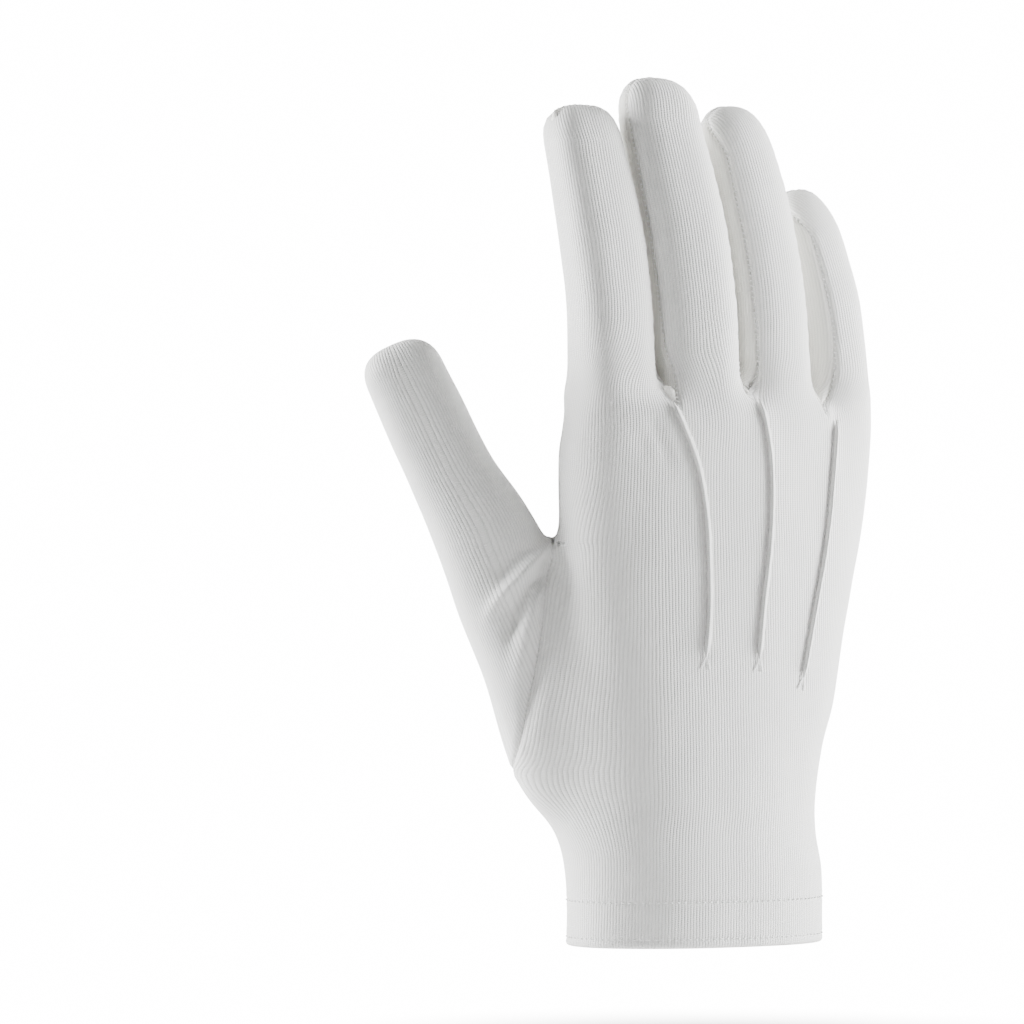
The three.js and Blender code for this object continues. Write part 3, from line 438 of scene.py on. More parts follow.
class Group:
    """Columns of the trank that run into one strip of a finger."""

    def __init__(self, row, offset, first):
        self.finger, self.units, self.steps, self.origin, self.target, self.start, self.end = row
        self.offset, self.first = offset, first
        self.wrap = self.finger in (index, little)
        self.back = self.origin[1] == "back"
        self.share_from = share_at(crotch_across(self.origin[0]), self.origin[1])
        self.share_to = share_at(crotch_across(self.target[0]), self.target[1])
        if self.share_to < self.share_from:
            self.share_to += 1
        t = np.linspace(0, 1, self.steps + 1)
        if self.wrap:
            self.spread = t - 0.045 * np.sin(4 * math.pi * t)
        else:
            self.spread = t - 0.09 * np.sin(2 * math.pi * t)
        flip = 1 if self.finger is index or self.back else -1
        if self.wrap:
            self.sides = flip * (1 - 4 * np.minimum(self.spread, 1 - self.spread))
        else:
            self.sides = flip * (1 - 2 * self.spread)


groups = []
offset = first = 0
for row in group_rows:
    groups.append(Group(row, offset, first))
    offset += row[1]
    first += row[2]
column_units = offset
column_count = first
column_share = np.concatenate([mix(g.share_from, g.share_to, g.spread[:-1]) for g in groups])
column_crotch = np.concatenate(
    [mix(crotch_up[g.origin[0]], crotch_up[g.target[0]], g.spread[:-1]) for g in groups])
column_place = np.concatenate([g.offset + g.units * g.spread[:-1] for g in groups])
thumb_column = groups[0].steps // 2

# The thumb's seam in the view, across and up
seam_bottom_share, seam_top_share = 0.314, 0.735
thumb_seam = Table(["up", "back", "palm"], [
    (seam_bottom_share, -0.545, -0.545),
    (0.36, -0.522, -0.452),
    (0.42, -0.502, -0.44),
    (0.5, -0.472, -0.434),
    (0.58, -0.448, -0.428),
    (0.66, -0.432, -0.42),
    (seam_top_share, -0.412, -0.412),
])
seam_top = seam_top_share * palm_length
seam_bottom = seam_bottom_share * palm_length


def seam_across(side, height):
    return thumb_seam.read(side, np.asarray(height) / palm_length) * knuckle_breadth


def vent_half(height):
    share = np.clip((height - hole_bottom) / (vent_height - hole_bottom), 0, 1)
    return (vent_opening / 2) * np.sin(math.pi * share**0.85) ** 0.6


def lap_share(height):
    return smooth((hole_bottom - height) / (hole_bottom * 0.55))


def flap_lift(x, height, over):
    risen = smooth((vent_height * 0.95 - height) / (vent_height * 0.3)) * (flap_step / 2)
    high = risen * smooth((vent_middle + under_lap + flap_fade + 1 - x) / flap_fade)
    low = -risen * smooth((x - (vent_middle - over_lap - flap_fade - 1)) / flap_fade)
    return np.where(over, high, low)


# Heights of the two rows of stitches round the cuff
hem_line = 12.6
edge_line = 2.5
# How far along the palm's section the cloth follows an edge that is pulled
pull_reach = 7.0


def row_levels():
    """Heights of the trank's rows, closer together at its edge and at its stitch lines."""
    marks = [0.0, hem_height, hole_bottom, seam_bottom, vent_height, seam_top, palm_length]
    fine = [0.15, 0.35, 0.6, 0.95, 1.4, 1.9]
    fine += [edge_line + d for d in (-0.4, 0, 0.4, 0.9)]
    fine += [hem_line + d for d in (-1.2, -0.7, -0.35, 0, 0.35, 0.7, 1.2)]
    fine += [hole_bottom + d for d in (-0.6, 0.6)] + [vent_height + d for d in (-1.0, -0.4, 0.7)]
    fine += [seam_top - 0.6, seam_top + 0.7, seam_bottom + 0.7, seam_bottom - 0.7]
    levels = sorted(set(marks + fine))
    filled = [levels[0]]
    for level in levels[1:]:
        count = max(math.ceil((level - filled[-1]) / 1.3 - 0.2), 1)
        filled.extend(np.linspace(filled[-1], level, count + 1)[1:])
    return np.array(filled)


levels = row_levels()


def pulled_share(reach):
    return np.clip(1 - reach / pull_reach, 0, 1) ** 1.5


def trank_rows():
    """The trank's places on the form below the fingers: one set, and the slits' other edges."""
    rows = []
    others = []
    slides = []
    low_x, low_y = ring_places(palm_ring(hole_bottom), column_share)
    far = np.abs(low_x - vent_middle) + np.where(low_y > 0, 0, knuckle_breadth)
    vent_column = int(np.argmin(far))
    back_edge = seen(seam_across("back", levels), levels, "back")
    palm_edge = seen(seam_across("palm", levels), levels, "palm")
    ends = {}
    for level in (seam_bottom, seam_top):
        ends[level] = seen(seam_across("back", level), level, "back")[0]
    away = (column_place[:, None] - column_place[[thumb_column, vent_column]][None, :])
    away = (away + column_units / 2) % column_units - column_units / 2

    for r, level in enumerate(levels):
        ring_here = palm_ring(min(level, palm_length))
        follow = smooth((level / palm_length - 0.6) / 0.33)
        x, y = ring_places(ring_here, column_share)
        places = np.stack([x, y, level + (column_crotch - palm_length) * follow], 1)
        moved = places.copy()
        other = {thumb_column: places[thumb_column].copy(), vent_column: places[vent_column].copy()}

        def pull(column, way, target):
            move = target - places[column]
            reach = away[:, 0 if column == thumb_column else 1] * way
            weight = np.where(reach > 1e-9, pulled_share(reach), 0)
            moved[:] += move * weight[:, None]
            for slit in other:
                other[slit] += move * weight[slit]
            if way < 0:
                moved[column] += move
            else:
                other[column] += move

        near_end = seam_bottom if level < seam_top else seam_top
        near = smooth(1 - abs(level - near_end) / 24)
        if seam_bottom < level < seam_top:
            pull(thumb_column, -1, back_edge[r])
            pull(thumb_column, 1, palm_edge[r])
        else:
            target = places[thumb_column].copy()
            target[:2] = mix(target[:2], ends[near_end][:2], near)
            pull(thumb_column, -1, target)
            pull(thumb_column, 1, target)
        if level < vent_height + 20:
            near = smooth(1 - max(level - vent_height, 0) / 20)
            for way, lap in ((-1, under_lap), (1, -over_lap)):
                target = places[vent_column].copy()
                target[0] = mix(target[0], vent_middle, near)
                target[0] += lap_share(level) * lap + way * vent_half(level)
                pull(vent_column, way, target)
        opened = np.zeros((2, column_count))
        for k, way in enumerate((-1, 1)):
            reach = away[:, 1] * way
            weight = np.where(reach > -1e-9, pulled_share(reach), 0)
            opened[k] = way * vent_half(level) * weight if level < vent_height else 0
        slides.append(opened)
        rows.append(moved)
        others.append([other[thumb_column], other[vent_column]])
    rows = on_form(np.array(rows))
    others = on_form(np.array(others))
    order = (np.arange(column_count) - vent_column) % column_count
    over_columns = (order > 0) & (order < column_count / 2)
    for laid, over in ((rows, over_columns), (others, np.array([False, True]))):
        height = np.broadcast_to(levels[:, None], laid.shape[:2])
        lift = flap_lift(laid[..., 0], height, np.broadcast_to(over, laid.shape[:2]))
        lift = np.where(laid[..., 1] > 0, lift, 0)
        laid += normals_of(laid) * lift[..., None]
    return rows, others, vent_column, np.array(slides)


def finger_points(finger, height, angle):
    """Places round one finger, where height and angle may be arrays."""
    x, y, half_breadth, half_depth = finger_section(finger, height)
    turn = np.radians(angle)
    power = 2 / finger.square
    side = half_breadth * np.sign(np.cos(turn)) * np.abs(np.cos(turn)) ** power
    deep = -half_depth * np.sign(np.sin(turn)) * np.abs(np.sin(turn)) ** power
    turned = math.cos(finger.roll), math.sin(finger.roll)
    return np.stack([
        x + side * turned[0] - deep * turned[1],
        y + side * turned[1] + deep * turned[0],
        height + 0 * side,
    ], -1)


def seam_angle(angle, up):
    corner = round((angle - 45) / 90) * 90 + 45
    return mix((corner + angle) / 2, angle, smooth(up / 0.35))


# A strip leaves the palm's curve over this share of its finger, and its tip seam ends short of the side
foot_share = 0.15
tip_share = 0.78
dome_shares = (0.1, 0.22, 0.36, 0.5, 0.62, 0.73, 0.82, 0.89, 0.95, 1.0)


def strip_places(finger, start, end, spread, foot, sides):
    """A strip of cloth from a foot row up one finger to the seam over its tip."""
    ups = np.linspace(0, finger.dome_up, max(int(finger.dome_up * finger.length / 1.35), 8))[1:]
    rows = []
    for up in ups:
        angles = mix(seam_angle(start, up), seam_angle(end, up), spread)
        row = finger_points(finger, finger.root * palm_length + up * finger.length, angles)
        if up < foot_share:
            lifted = foot + np.array([0, 0, up * finger.length])
            row = mix(lifted, row, smooth(up / foot_share))
        rows.append(row)
    low = int(np.searchsorted(ups, 0.12))
    laid = [foot[None]]
    laid.append(on_form(np.array(rows[:low])))
    laid.append(on_form(np.array(rows[low:]), finger))
    fall = 1 - (1 - (tip_share * np.abs(sides)) ** finger.square) ** (1 / finger.square)
    top = finger.top - finger.tip * finger.breadth * fall
    x, y, half_breadth, _ = finger_section(finger, top)
    tips = np.stack([x + sides * tip_share * half_breadth, y, top], -1)
    dome = np.array([mix(rows[-1], tips, share) for share in dome_shares])
    laid.append(on_form(dome, finger))
    return np.concatenate(laid)


def web_row(back, palm, steps):
    """The fold between two fingers, found from above."""
    share = np.linspace(0, 1, steps + 1)
    places = mix(back[None], palm[None], share[:, None])
    found = places.copy()
    found[:, 2] += palm_length * 0.06
    for _ in range(150):
        outside = (field(found) > 0) & (found[:, 2] > palm_length * 0.8)
        if not outside.any():
            break
        found[outside, 2] -= 0.2
    found = on_form(found)
    found[0], found[-1] = back, palm
    return found


def thumb_points(along, angles):
    offset, half_breadth, half_depth = thumb_section(along)
    power = 2 / thumb_square
    side = np.sign(np.cos(angles)) * np.abs(np.cos(angles)) ** power * half_breadth + offset
    deep = -np.sign(np.sin(angles)) * np.abs(np.sin(angles)) ** power * half_depth
    return thumb_start + np.multiply.outer(along + 0 * side, thumb_axis) + np.multiply.outer(
        side, thumb_side) + np.multiply.outer(deep, thumb_deep)


class Sheet:
    """Four-sided faces of cloth that share their corners by place, each corner with its knit place."""

    def __init__(self):
        self.corners = []
        self.knits = []

    def patch(self, places, knit):
        """Adds a grid of rows by columns."""
        for store, grid in ((self.corners, places), (self.knits, knit)):
            quads = np.stack([grid[:-1, :-1], grid[:-1, 1:], grid[1:, 1:], grid[1:, :-1]], 2)
            store.append(quads.reshape(-1, 4, grid.shape[-1]))

    def quads(self, corners, knits):
        self.corners.append(corners)
        self.knits.append(knits)


def arc_knit(places, centre_u, foot_v):
    """Knit places for a strip: across from its middle column and along from its foot."""
    across = np.linalg.norm(np.diff(places, axis=1), axis=2)
    across = np.concatenate([np.zeros((len(places), 1)), np.cumsum(across, 1)], 1)
    middle = across[:, across.shape[1] // 2][:, None]
    along = np.linalg.norm(np.diff(places, axis=0), axis=2).mean(1)
    along = foot_v + np.concatenate([[0], np.cumsum(along)])
    u = centre_u + across - middle
    return np.stack([u, np.broadcast_to(along[:, None], u.shape)], -1)


chain_step = 0.3


def search_tree(chains, marks):
    """Search tree over chains of places, with each place's mark, or else how far along it lies."""
    points, values = [], []
    for chain, mark in zip(chains, marks):
        fine = polyline(chain, chain_step)
        points.append(fine)
        values.append(np.arange(len(fine)) * chain_step if mark is None else np.full(len(fine), mark))
    points = np.concatenate(points)
    tree = KDTree(len(points))
    for i, place in enumerate(points):
        tree.insert(place, i)
    tree.balance()
    return tree, np.concatenate(values)


class Model:
    """Every sheet of the glove, laid on the form once and then shared by the operators."""

    def __init__(self):
        self.seams = []
        self.lines = []
        self.build_trank()
        self.build_fourchettes()
        self.build_thumb()
        self.build_vent()
        self.build_stitch_lines()
        self.build_trees()

    def flap_sides(self):
        """For each column, 1 on the over flap's half of the trank and -1 on the under flap's."""
        order = (np.arange(column_count) - self.vent_column) % column_count
        return np.where(order < column_count / 2, 1.0, -1.0)

    def build_trank(self):
        before, others, vent_column, slides = trank_rows()
        self.vent_column = vent_column
        after = before.copy()
        after[:, thumb_column] = others[:, 0]
        after[:, vent_column] = others[:, 1]
        self.before, self.after = before, after
        sheet = Sheet()
        following = np.roll(np.arange(column_count), -1)
        step = (column_share[following] - column_share) % 1.0
        unwrapped = np.mod(column_share, 1)
        unwrapped = np.where(unwrapped < side_seam, unwrapped, unwrapped - 1)
        rings = np.array([palm_ring(min(level, palm_length))[2][-1] for level in levels])
        left_u = (unwrapped - 0.5)[None] * rings[:, None]
        right_u = (unwrapped + step - 0.5)[None] * rings[:, None]
        v = np.broadcast_to(levels[:, None], left_u.shape)
        flap = np.broadcast_to(self.flap_sides(), left_u.shape)
        # Where the vent stands open, the ribs are cut and stay upright
        beyond = np.arange(column_count) != vent_column
        left_slide = slides[:, 1] + slides[:, 0] * beyond
        right_slide = (slides[:, 0] + slides[:, 1] * beyond)[:, following]
        left = np.stack([left_u + left_slide, v, flap], -1)
        right = np.stack([right_u + right_slide, v, flap], -1)
        ahead = before[:, following]
        corners = np.stack([after[:-1], ahead[:-1], ahead[1:], after[1:]], 2)
        knits = np.stack([left[:-1], right[:-1], right[1:], left[1:]], 2)
        sheet.quads(corners.reshape(-1, 4, 3), knits.reshape(-1, 4, 3))
        foot_row = before[-1]
        for group in groups:
            picks = (group.first + np.arange(group.steps + 1)) % column_count
            foot = foot_row[picks]
            places = strip_places(group.finger, group.start, group.end, group.spread, foot, group.sides)
            foot_u = left_u[-1][picks]
            foot_u = foot_u + rings[-1] * np.cumsum(np.concatenate([[0], np.diff(foot_u) < 0]))
            knit = arc_knit(places, foot_u[group.steps // 2], palm_length)
            reach = knit[:, :1, 1] - palm_length
            knit[..., 0] = mix(foot_u[None], knit[..., 0], smooth(reach / 26))
            sheet.patch(places, np.concatenate([knit, np.zeros((*knit.shape[:2], 1))], -1))
            starts_back = group.back or group.finger is index
            ends_back = group.back or group.finger is little
            self.seams.append(("dorsal" if starts_back else "palmar", places[:, 0]))
            self.seams.append(("dorsal" if ends_back else "palmar", places[:, -1]))
            half = group.steps // 2 - 3 if group.wrap else group.steps
            self.seams.append(("tip", places[-1, : half + 1]))
        self.trank = sheet
        low, high = np.searchsorted(levels, [seam_bottom - 1e-6, seam_top - 1e-6])
        self.thumb_rows = slice(low, high + 1)
        self.seams.append(("thumb", before[self.thumb_rows, thumb_column]))
        self.seams.append(("thumb", after[self.thumb_rows, thumb_column]))

    def build_fourchettes(self):
        self.fourchettes = []
        steps = 12
        spread = np.linspace(0, 1, steps + 1)
        spread = spread - 0.08 * np.sin(2 * math.pi * spread)
        for gap in range(3):
            left, right = fingers[gap], fingers[gap + 1]
            beside = [group for group in groups if group.origin[0] == gap]
            ends = {group.origin[1]: self.before[-1][group.first] for group in beside}
            web = web_row(ends["back"], ends["palm"], steps)
            down = strip_places(left, left.right_back, left.right_palm, spread, web, np.ones(steps + 1))
            up = strip_places(right, right.left_back, right.left_palm, spread, web, -np.ones(steps + 1))
            places = np.concatenate([down[::-1], up[1:]])
            # The rows by the web are evened out, with their edges kept
            part = places[len(down) - 9:len(down) + 8]
            for _ in range(40):
                part[1:-1, 1:-1] = (part[:-2, 1:-1] + part[2:, 1:-1] + part[1:-1, :-2] + part[1:-1, 2:]) / 4
            sheet = Sheet()
            sheet.patch(places, arc_knit(places, 0.0, 0.0))
            self.fourchettes.append(sheet)

    def build_thumb(self):
        before = self.before[self.thumb_rows, thumb_column]
        after = self.after[self.thumb_rows, thumb_column]
        edge = np.concatenate([before[::-1], after[1:-1]])
        edge = np.concatenate([edge, edge[:1]])
        turn = np.linspace(0, 2 * math.pi, 2001)
        ring_here = thumb_points(thumb_length * 0.75, turn)
        reach = np.concatenate([[0], np.cumsum(np.linalg.norm(np.diff(ring_here, axis=0), axis=1))])
        angles = np.interp(np.linspace(0, reach[-1], len(edge)), reach, turn)
        dome = thumb_length - thumb_tip_length * thumb_breadth
        first = thumb_length * 0.52
        base = thumb_points(first, angles)
        rows = [edge[None]]
        shares = np.array([0.015, 0.035, 0.06] + list(np.linspace(0.1, 1, 34)[:-1]))
        rows.append(on_form(np.array([mix(edge, base, share) for share in shares])))
        rows.append(on_form(np.array([thumb_points(a, angles) for a in np.linspace(first, dome, 42)])))
        offset, half_breadth, _ = thumb_section(thumb_length)
        aside = 0.7 * np.cos(angles)
        fall = 1 - (1 - np.abs(aside) ** thumb_square) ** (1 / thumb_square)
        height = thumb_length - thumb_tip_length * thumb_breadth * fall
        top = thumb_start + np.multiply.outer(height, thumb_axis)
        top = top + np.multiply.outer(aside * half_breadth + offset, thumb_side)
        rim = thumb_points(dome, angles)
        shares = np.array([0.12, 0.25, 0.38, 0.5, 0.62, 0.73, 0.83, 0.91, 0.97, 1.0])
        rows.append(on_form(np.array([mix(rim, top, share) for share in shares])))
        places = np.concatenate(rows)
        sheet = Sheet()
        u = np.broadcast_to(angles / (2 * math.pi) * thumb_girth, places.shape[:2])
        along = np.linalg.norm(np.diff(places, axis=0), axis=2).mean(1)
        v = np.broadcast_to(np.concatenate([[0], np.cumsum(along)])[:, None], places.shape[:2])
        sheet.patch(places, np.stack([u, v], -1))
        self.thumb = sheet

    def build_vent(self):
        low, high = np.searchsorted(levels, [hole_bottom - 1e-6, vent_height - 1e-6])
        part = slice(low, high + 1)
        before = self.before[part, self.vent_column]
        after = self.after[part, self.vent_column]
        loop = np.concatenate([before[::-1], after[1:-1]])
        self.hole_loop = loop
        angles = np.linspace(-0.12, 1.12, 49) * math.pi
        outs = np.linspace(0.12, 1, 12)
        reach = facing_reach * outs[:, None]
        x = vent_middle + np.cos(angles) * (vent_opening / 2 + reach)
        z = arch_foot + np.sin(angles) * (vent_height - arch_foot + reach)
        places = on_form(np.stack([x, np.full_like(x, cuff_depth / 2), z], -1))
        lift = flap_lift(places[..., 0], z, np.broadcast_to(np.cos(angles) > 0, z.shape))
        places = places + normals_of(places) * (lift - cloth_wall - 2 * piece_gap)[..., None]
        sheet = Sheet()
        sheet.patch(places, places[..., [0, 2]])
        self.facing = sheet
        # The cloth turned in at the cuff, under the trank and its flaps
        rows = levels <= hem_height + 1e-6
        deep = cloth_wall + 0.05 + (piece_gap - 0.05) * smooth(levels[rows] / 4)
        under = []
        for grid in (self.before, self.after):
            part = grid[rows]
            under.append(part - normals_of(part) * deep[:, None, None])
        following = np.roll(np.arange(column_count), -1)
        sheet = Sheet()
        low, high = under[1][:-1], under[1][1:]
        corners = np.stack([low, under[0][:-1][:, following], under[0][1:][:, following], high], 2)
        across = (np.arange(column_count) * hem_column)[None, :]
        place = np.stack(np.broadcast_arrays(across, levels[rows][:, None], self.flap_sides()[None, :]), -1)
        ahead = place + np.array([hem_column, 0, 0])
        knits = np.stack([place[:-1], ahead[:-1], ahead[1:], place[1:]], 2)
        sheet.quads(corners.reshape(-1, 4, 3), knits.reshape(-1, 4, 3))
        self.hem = sheet

    def build_stitch_lines(self):
        """Lines of stitching that press into the trank's cloth, and the tucks."""
        self.hem_lines = []
        columns = np.arange(column_count)
        for height in (hem_line, edge_line):
            row = int(np.argmin(np.abs(levels - height)))
            start = (self.vent_column + 1) % column_count
            order = (start + columns[:-1]) % column_count
            chain = self.before[row][order]
            self.hem_lines.append(chain)
            self.lines.append(chain)
        column = int(np.argmin(np.abs(np.mod(column_share, 1) - side_seam)))
        self.lines.append(self.before[(levels > 4) & (levels < 74), column])
        angles = np.linspace(-0.02, 1.06, 60) * math.pi
        x = vent_middle + np.cos(angles) * (vent_opening / 2 + facing_reach - 1.0)
        z = arch_foot + np.sin(angles) * (vent_height - arch_foot + facing_reach - 1.5)
        places = on_form(np.stack([x, np.full_like(x, cuff_depth / 2), z], -1))
        lift = flap_lift(places[:, 0], z, np.cos(angles) > 0)
        self.arc_line = places + normals_of(places) * lift[:, None]
        self.lines.append(self.arc_line)
        self.tucks = []
        for line in tuck_lines:
            view = polyline(rounded(np.array(line) * np.array([knuckle_breadth, palm_length])), 0.6)
            chain = seen(view[:, 0], view[:, 1], "back")
            self.tucks.append(chain)

    def build_trees(self):
        """Search trees over the seams and the stitch lines."""
        self.trees = {}
        chains = {
            "seam": [chain for _, chain in self.seams],
            "line": self.lines,
            "tuck": self.tucks,
        }
        for kind, group in chains.items():
            self.trees[kind] = search_tree(group, [None] * len(group))
        below = levels <= hole_bottom + 1e-6
        foot = self.before[0][(self.vent_column + 1 + np.arange(column_count // 2)) % column_count]
        foot = foot[(foot[:, 0] < stud_across + 12) & (foot[:, 1] > 0)]
        edges = [self.after[below, self.vent_column], self.before[below, self.vent_column], foot]
        self.trees["edge"] = search_tree(edges, [1.0, -1.0, 1.0])


side_seam = 0.965

# The raised tucks on the back in the view, as shares of the knuckles' breadth and the palm's length
tuck_lines = [
    [(-0.068, 0.985), (-0.02, 0.92), (0.012, 0.86), (0.032, 0.78), (0.038, 0.7), (0.041, 0.6),
     (0.028, 0.525)],
    [(0.186, 0.99), (0.208, 0.94), (0.223, 0.86), (0.222, 0.78), (0.212, 0.7), (0.195, 0.6),
     (0.183, 0.52)],
    [(0.42, 0.955), (0.418, 0.91), (0.41, 0.84), (0.396, 0.76), (0.376, 0.68), (0.345, 0.58),
     (0.316, 0.485)],
]

# Folds as the view shows them: side, places across and up, half width and height.
# A height below zero is a valley.
creases = [
    ("back", [(-38.6, 112.6), (-39.2, 111.7), (-45.3, 105.7), (-50.7, 99.5), (-56.0, 93.4), (-59.5, 86.3)],
     2.0, 2.5),
    ("back", [(-45.5, 111.0), (-51.0, 105.0), (-56.5, 98.5)], 3.0, -1.0),
    ("back", [(-42.2, 103.6), (-43.1, 101.3), (-47.1, 96.0), (-50.2, 89.8), (-52.9, 80.1)], 1.7, -2.4),
    ("back", [(-41.8, 102.2), (-44.5, 93.4), (-48.0, 81.0), (-50.2, 67.7)], 2.6, 1.3),
    ("back", [(-39.8, 109.0), (-40.5, 101.6), (-41.0, 94.2), (-43.2, 81.0), (-46.7, 63.3), (-49.6, 48.3)],
     2.3, -2.1),
    ("back", [(-13.0, 146.0), (-9.4, 137.5), (-5.9, 129.5)], 1.8, -0.6),
    ("back", [(-17.0, 142.5), (-12.6, 134.0)], 2.2, -0.4),
    ("palm", [(2.0, 32.4), (-6.7, 26.3), (-10.8, 21.1), (-15.6, 15.0)], 2.4, 1.5),
    ("palm", [(7.0, 27.0), (-0.5, 22.2), (-4.6, 16.5)], 3.4, -1.2),
    ("palm", [(-4.4, 33.0), (-10.0, 27.4), (-14.2, 20.8)], 2.3, -0.8),
    ("palm", [(-22.0, 62.0), (-19.0, 58.0), (-12.0, 59.5), (-5.0, 56.0)], 2.4, 0.6),
    ("palm", [(8.0, 9.5), (-1.0, 9.0), (-8.0, 12.0)], 3.0, -0.8),
]


def chain_distance(across, up, chain):
    """Distance in the view to a chain of places, how far along it that is, and its length."""
    best = np.full(across.shape, np.inf)
    along = np.zeros(across.shape)
    reach = 0.0
    total = np.hypot(*np.diff(chain, axis=0).T).sum()
    for (x0, z0), (x1, z1) in zip(chain[:-1], chain[1:]):
        length = math.hypot(x1 - x0, z1 - z0)
        share = np.clip(((across - x0) * (x1 - x0) + (up - z0) * (z1 - z0)) / length**2, 0, 1)
        distance = np.hypot(across - x0 - share * (x1 - x0), up - z0 - share * (z1 - z0))
        along = np.where(distance < best, reach + share * length, along)
        best = np.minimum(best, distance)
        reach += length
    return best, along, total


def fold_height(places):
    across, depth = to_view(places)
    up = places[:, 2]
    height = np.zeros(len(places))
    for side, chain, width, rise in creases:
        facing = smooth((-depth + 4) / 10) if side == "back" else smooth((depth - 2) / 8)
        distance, along, length = chain_distance(across, up, rounded(chain))
        fade = smooth(0.2 + along / 6) * smooth((length - along) / (0.45 * length))
        height += facing * rise * fade * np.exp(-((distance / width) ** 2))
    return height


# Small moves of the cloth in the view: place across and up, move across and up, reach
settled = [
    (-36.5, 151.9, -0.8, 0.0, 4.0),
    (-37.5, 143.5, 0.9, 0.0, 5.0),
    (-38.5, 231.0, 0.2, -0.8, 4.5),
    (-30.0, 231.5, 0.0, -0.6, 4.0),
    (12.0, 231.0, 0.6, -0.5, 4.0),
]


def settle(places):
    """Moves cloth a little in the view, where its outline asks for it."""
    across, _ = to_view(places)
    moved = places.copy()
    for x, z, move_across, move_up, reach in settled:
        weight = np.exp(-(((across - x) ** 2 + (places[:, 2] - z) ** 2) / reach**2))
        moved += from_view(move_across, 0.0, move_up) * weight[:, None]
    return moved


def unrest(places, seed, scale):
    """Soft unevenness of worn cloth, between about -1 and 1."""
    count = 9
    chance = np.random.default_rng(seed)
    ways = chance.normal(size=(count, 3))
    ways[:, 2] *= 0.6
    ways *= (2 * math.pi / scale) / np.linalg.norm(ways, axis=1, keepdims=True)
    ways *= chance.uniform(0.7, 1.3, (count, 1))
    phase = chance.uniform(0, 2 * math.pi, count)
    return np.sin(places @ ways.T + phase).sum(1) / math.sqrt(count)


def nearest(searched, places):
    """For each place, the value of the nearest place in a search tree, and how far off that is."""
    tree, values = searched
    found = np.array([tree.find(place)[1:] for place in places])
    return values[found[:, 0].astype(int)], found[:, 1]


def rolled(distance, roll):
    """How far cloth has turned in at a rolled edge."""
    inside = np.clip(roll - distance, 0, roll)
    return -(roll - np.sqrt(np.maximum(roll * roll - inside * inside, 0)))


def cloth_detail(places, settings, flags=None):
    """Height of the folds, grooves and puckers of the cloth over the form."""
    trees = glove_model().trees
    height = fold_height(places)
    height += 0.2 * unrest(places, 3, 34) + 0.05 * unrest(places, 8, 11)
    reach, distance = nearest(trees["seam"], places)
    groove = settings.groove_depth / MILLIMETRE
    height -= groove * np.exp(-((distance / 0.6) ** 2))
    pucker = np.sin(2 * math.pi * reach / 1.9 + 0.8 * np.sin(reach / 4.1))
    height += (0.1 + 0.09 * pucker) * np.exp(-(((distance - 1.6) / 1.0) ** 2))
    if flags is None:
        return height, distance
    reach, line = nearest(trees["line"], places)
    beat = np.cos(2 * math.pi * reach / (settings.hem_pitch / MILLIMETRE))
    height -= (0.17 + 0.06 * beat) * np.exp(-((line / 0.5) ** 2))
    height += (0.06 - 0.03 * beat) * np.exp(-(((line - 1.3) / 0.8) ** 2))
    reach, tuck = nearest(trees["tuck"], places)
    height -= (0.38 + 0.05 * np.sin(reach * 3.1)) * np.exp(-((tuck / 1.35) ** 2))
    height += rolled(places[:, 2], 1.1)
    side, edge = nearest(trees["edge"], places)
    own = side * flags > 0
    height += np.where(own, rolled(edge, 1.3), 0)
    # The over flap's rolled edge, which ends beside the stud
    band = (own & (flags > 0)) * smooth((stud_across - places[:, 0] - 5) / 3)
    height += band * 1.05 * np.sqrt(np.maximum(1 - ((edge - 1.6) / 1.8) ** 2, 0))
    height -= band * 0.5 * np.exp(-(((edge - 3.9) / 0.7) ** 2))
    return height, distance


def corner_rise(reach, radius):
    """How far a rounded corner's edge lies above its square corner."""
    inside = np.clip(radius - reach, 0, radius)
    return radius - np.sqrt(radius * radius - inside * inside)


def draped(places, over):
    """Rounds both flaps' lower corners and raises the over flap's lower edge towards its own."""
    x = places[:, 0]
    rise = 5.6 * smooth((40 - x) / 36) + corner_rise(np.maximum(x - (vent_middle - over_lap), 0), 7)
    under = corner_rise(np.maximum(vent_middle + under_lap - x, 0), 6)
    rise = np.where(over, rise, np.where(x < vent_middle + under_lap + 1, under, 0))
    moved = places.copy()
    moved[:, 2] += rise * smooth(places[:, 1] / 8) * smooth(1 - places[:, 2] / 28)
    return moved


def smooth_mesh(name, places, faces, knits=None):
    """A mesh from places in millimetres, with the knit places of its faces' corners."""
    mesh = bpy.data.meshes.new(name)
    mesh.from_pydata((np.array(places) * MILLIMETRE).tolist(), [], faces)
    if knits is not None:
        layer = mesh.uv_layers.new(name="knit")
        layer.data.foreach_set("uv", (np.concatenate(knits) * MILLIMETRE).astype(np.float32).ravel())
    mesh.polygons.foreach_set("use_smooth", [True] * len(mesh.polygons))
    mesh.update()
    return mesh


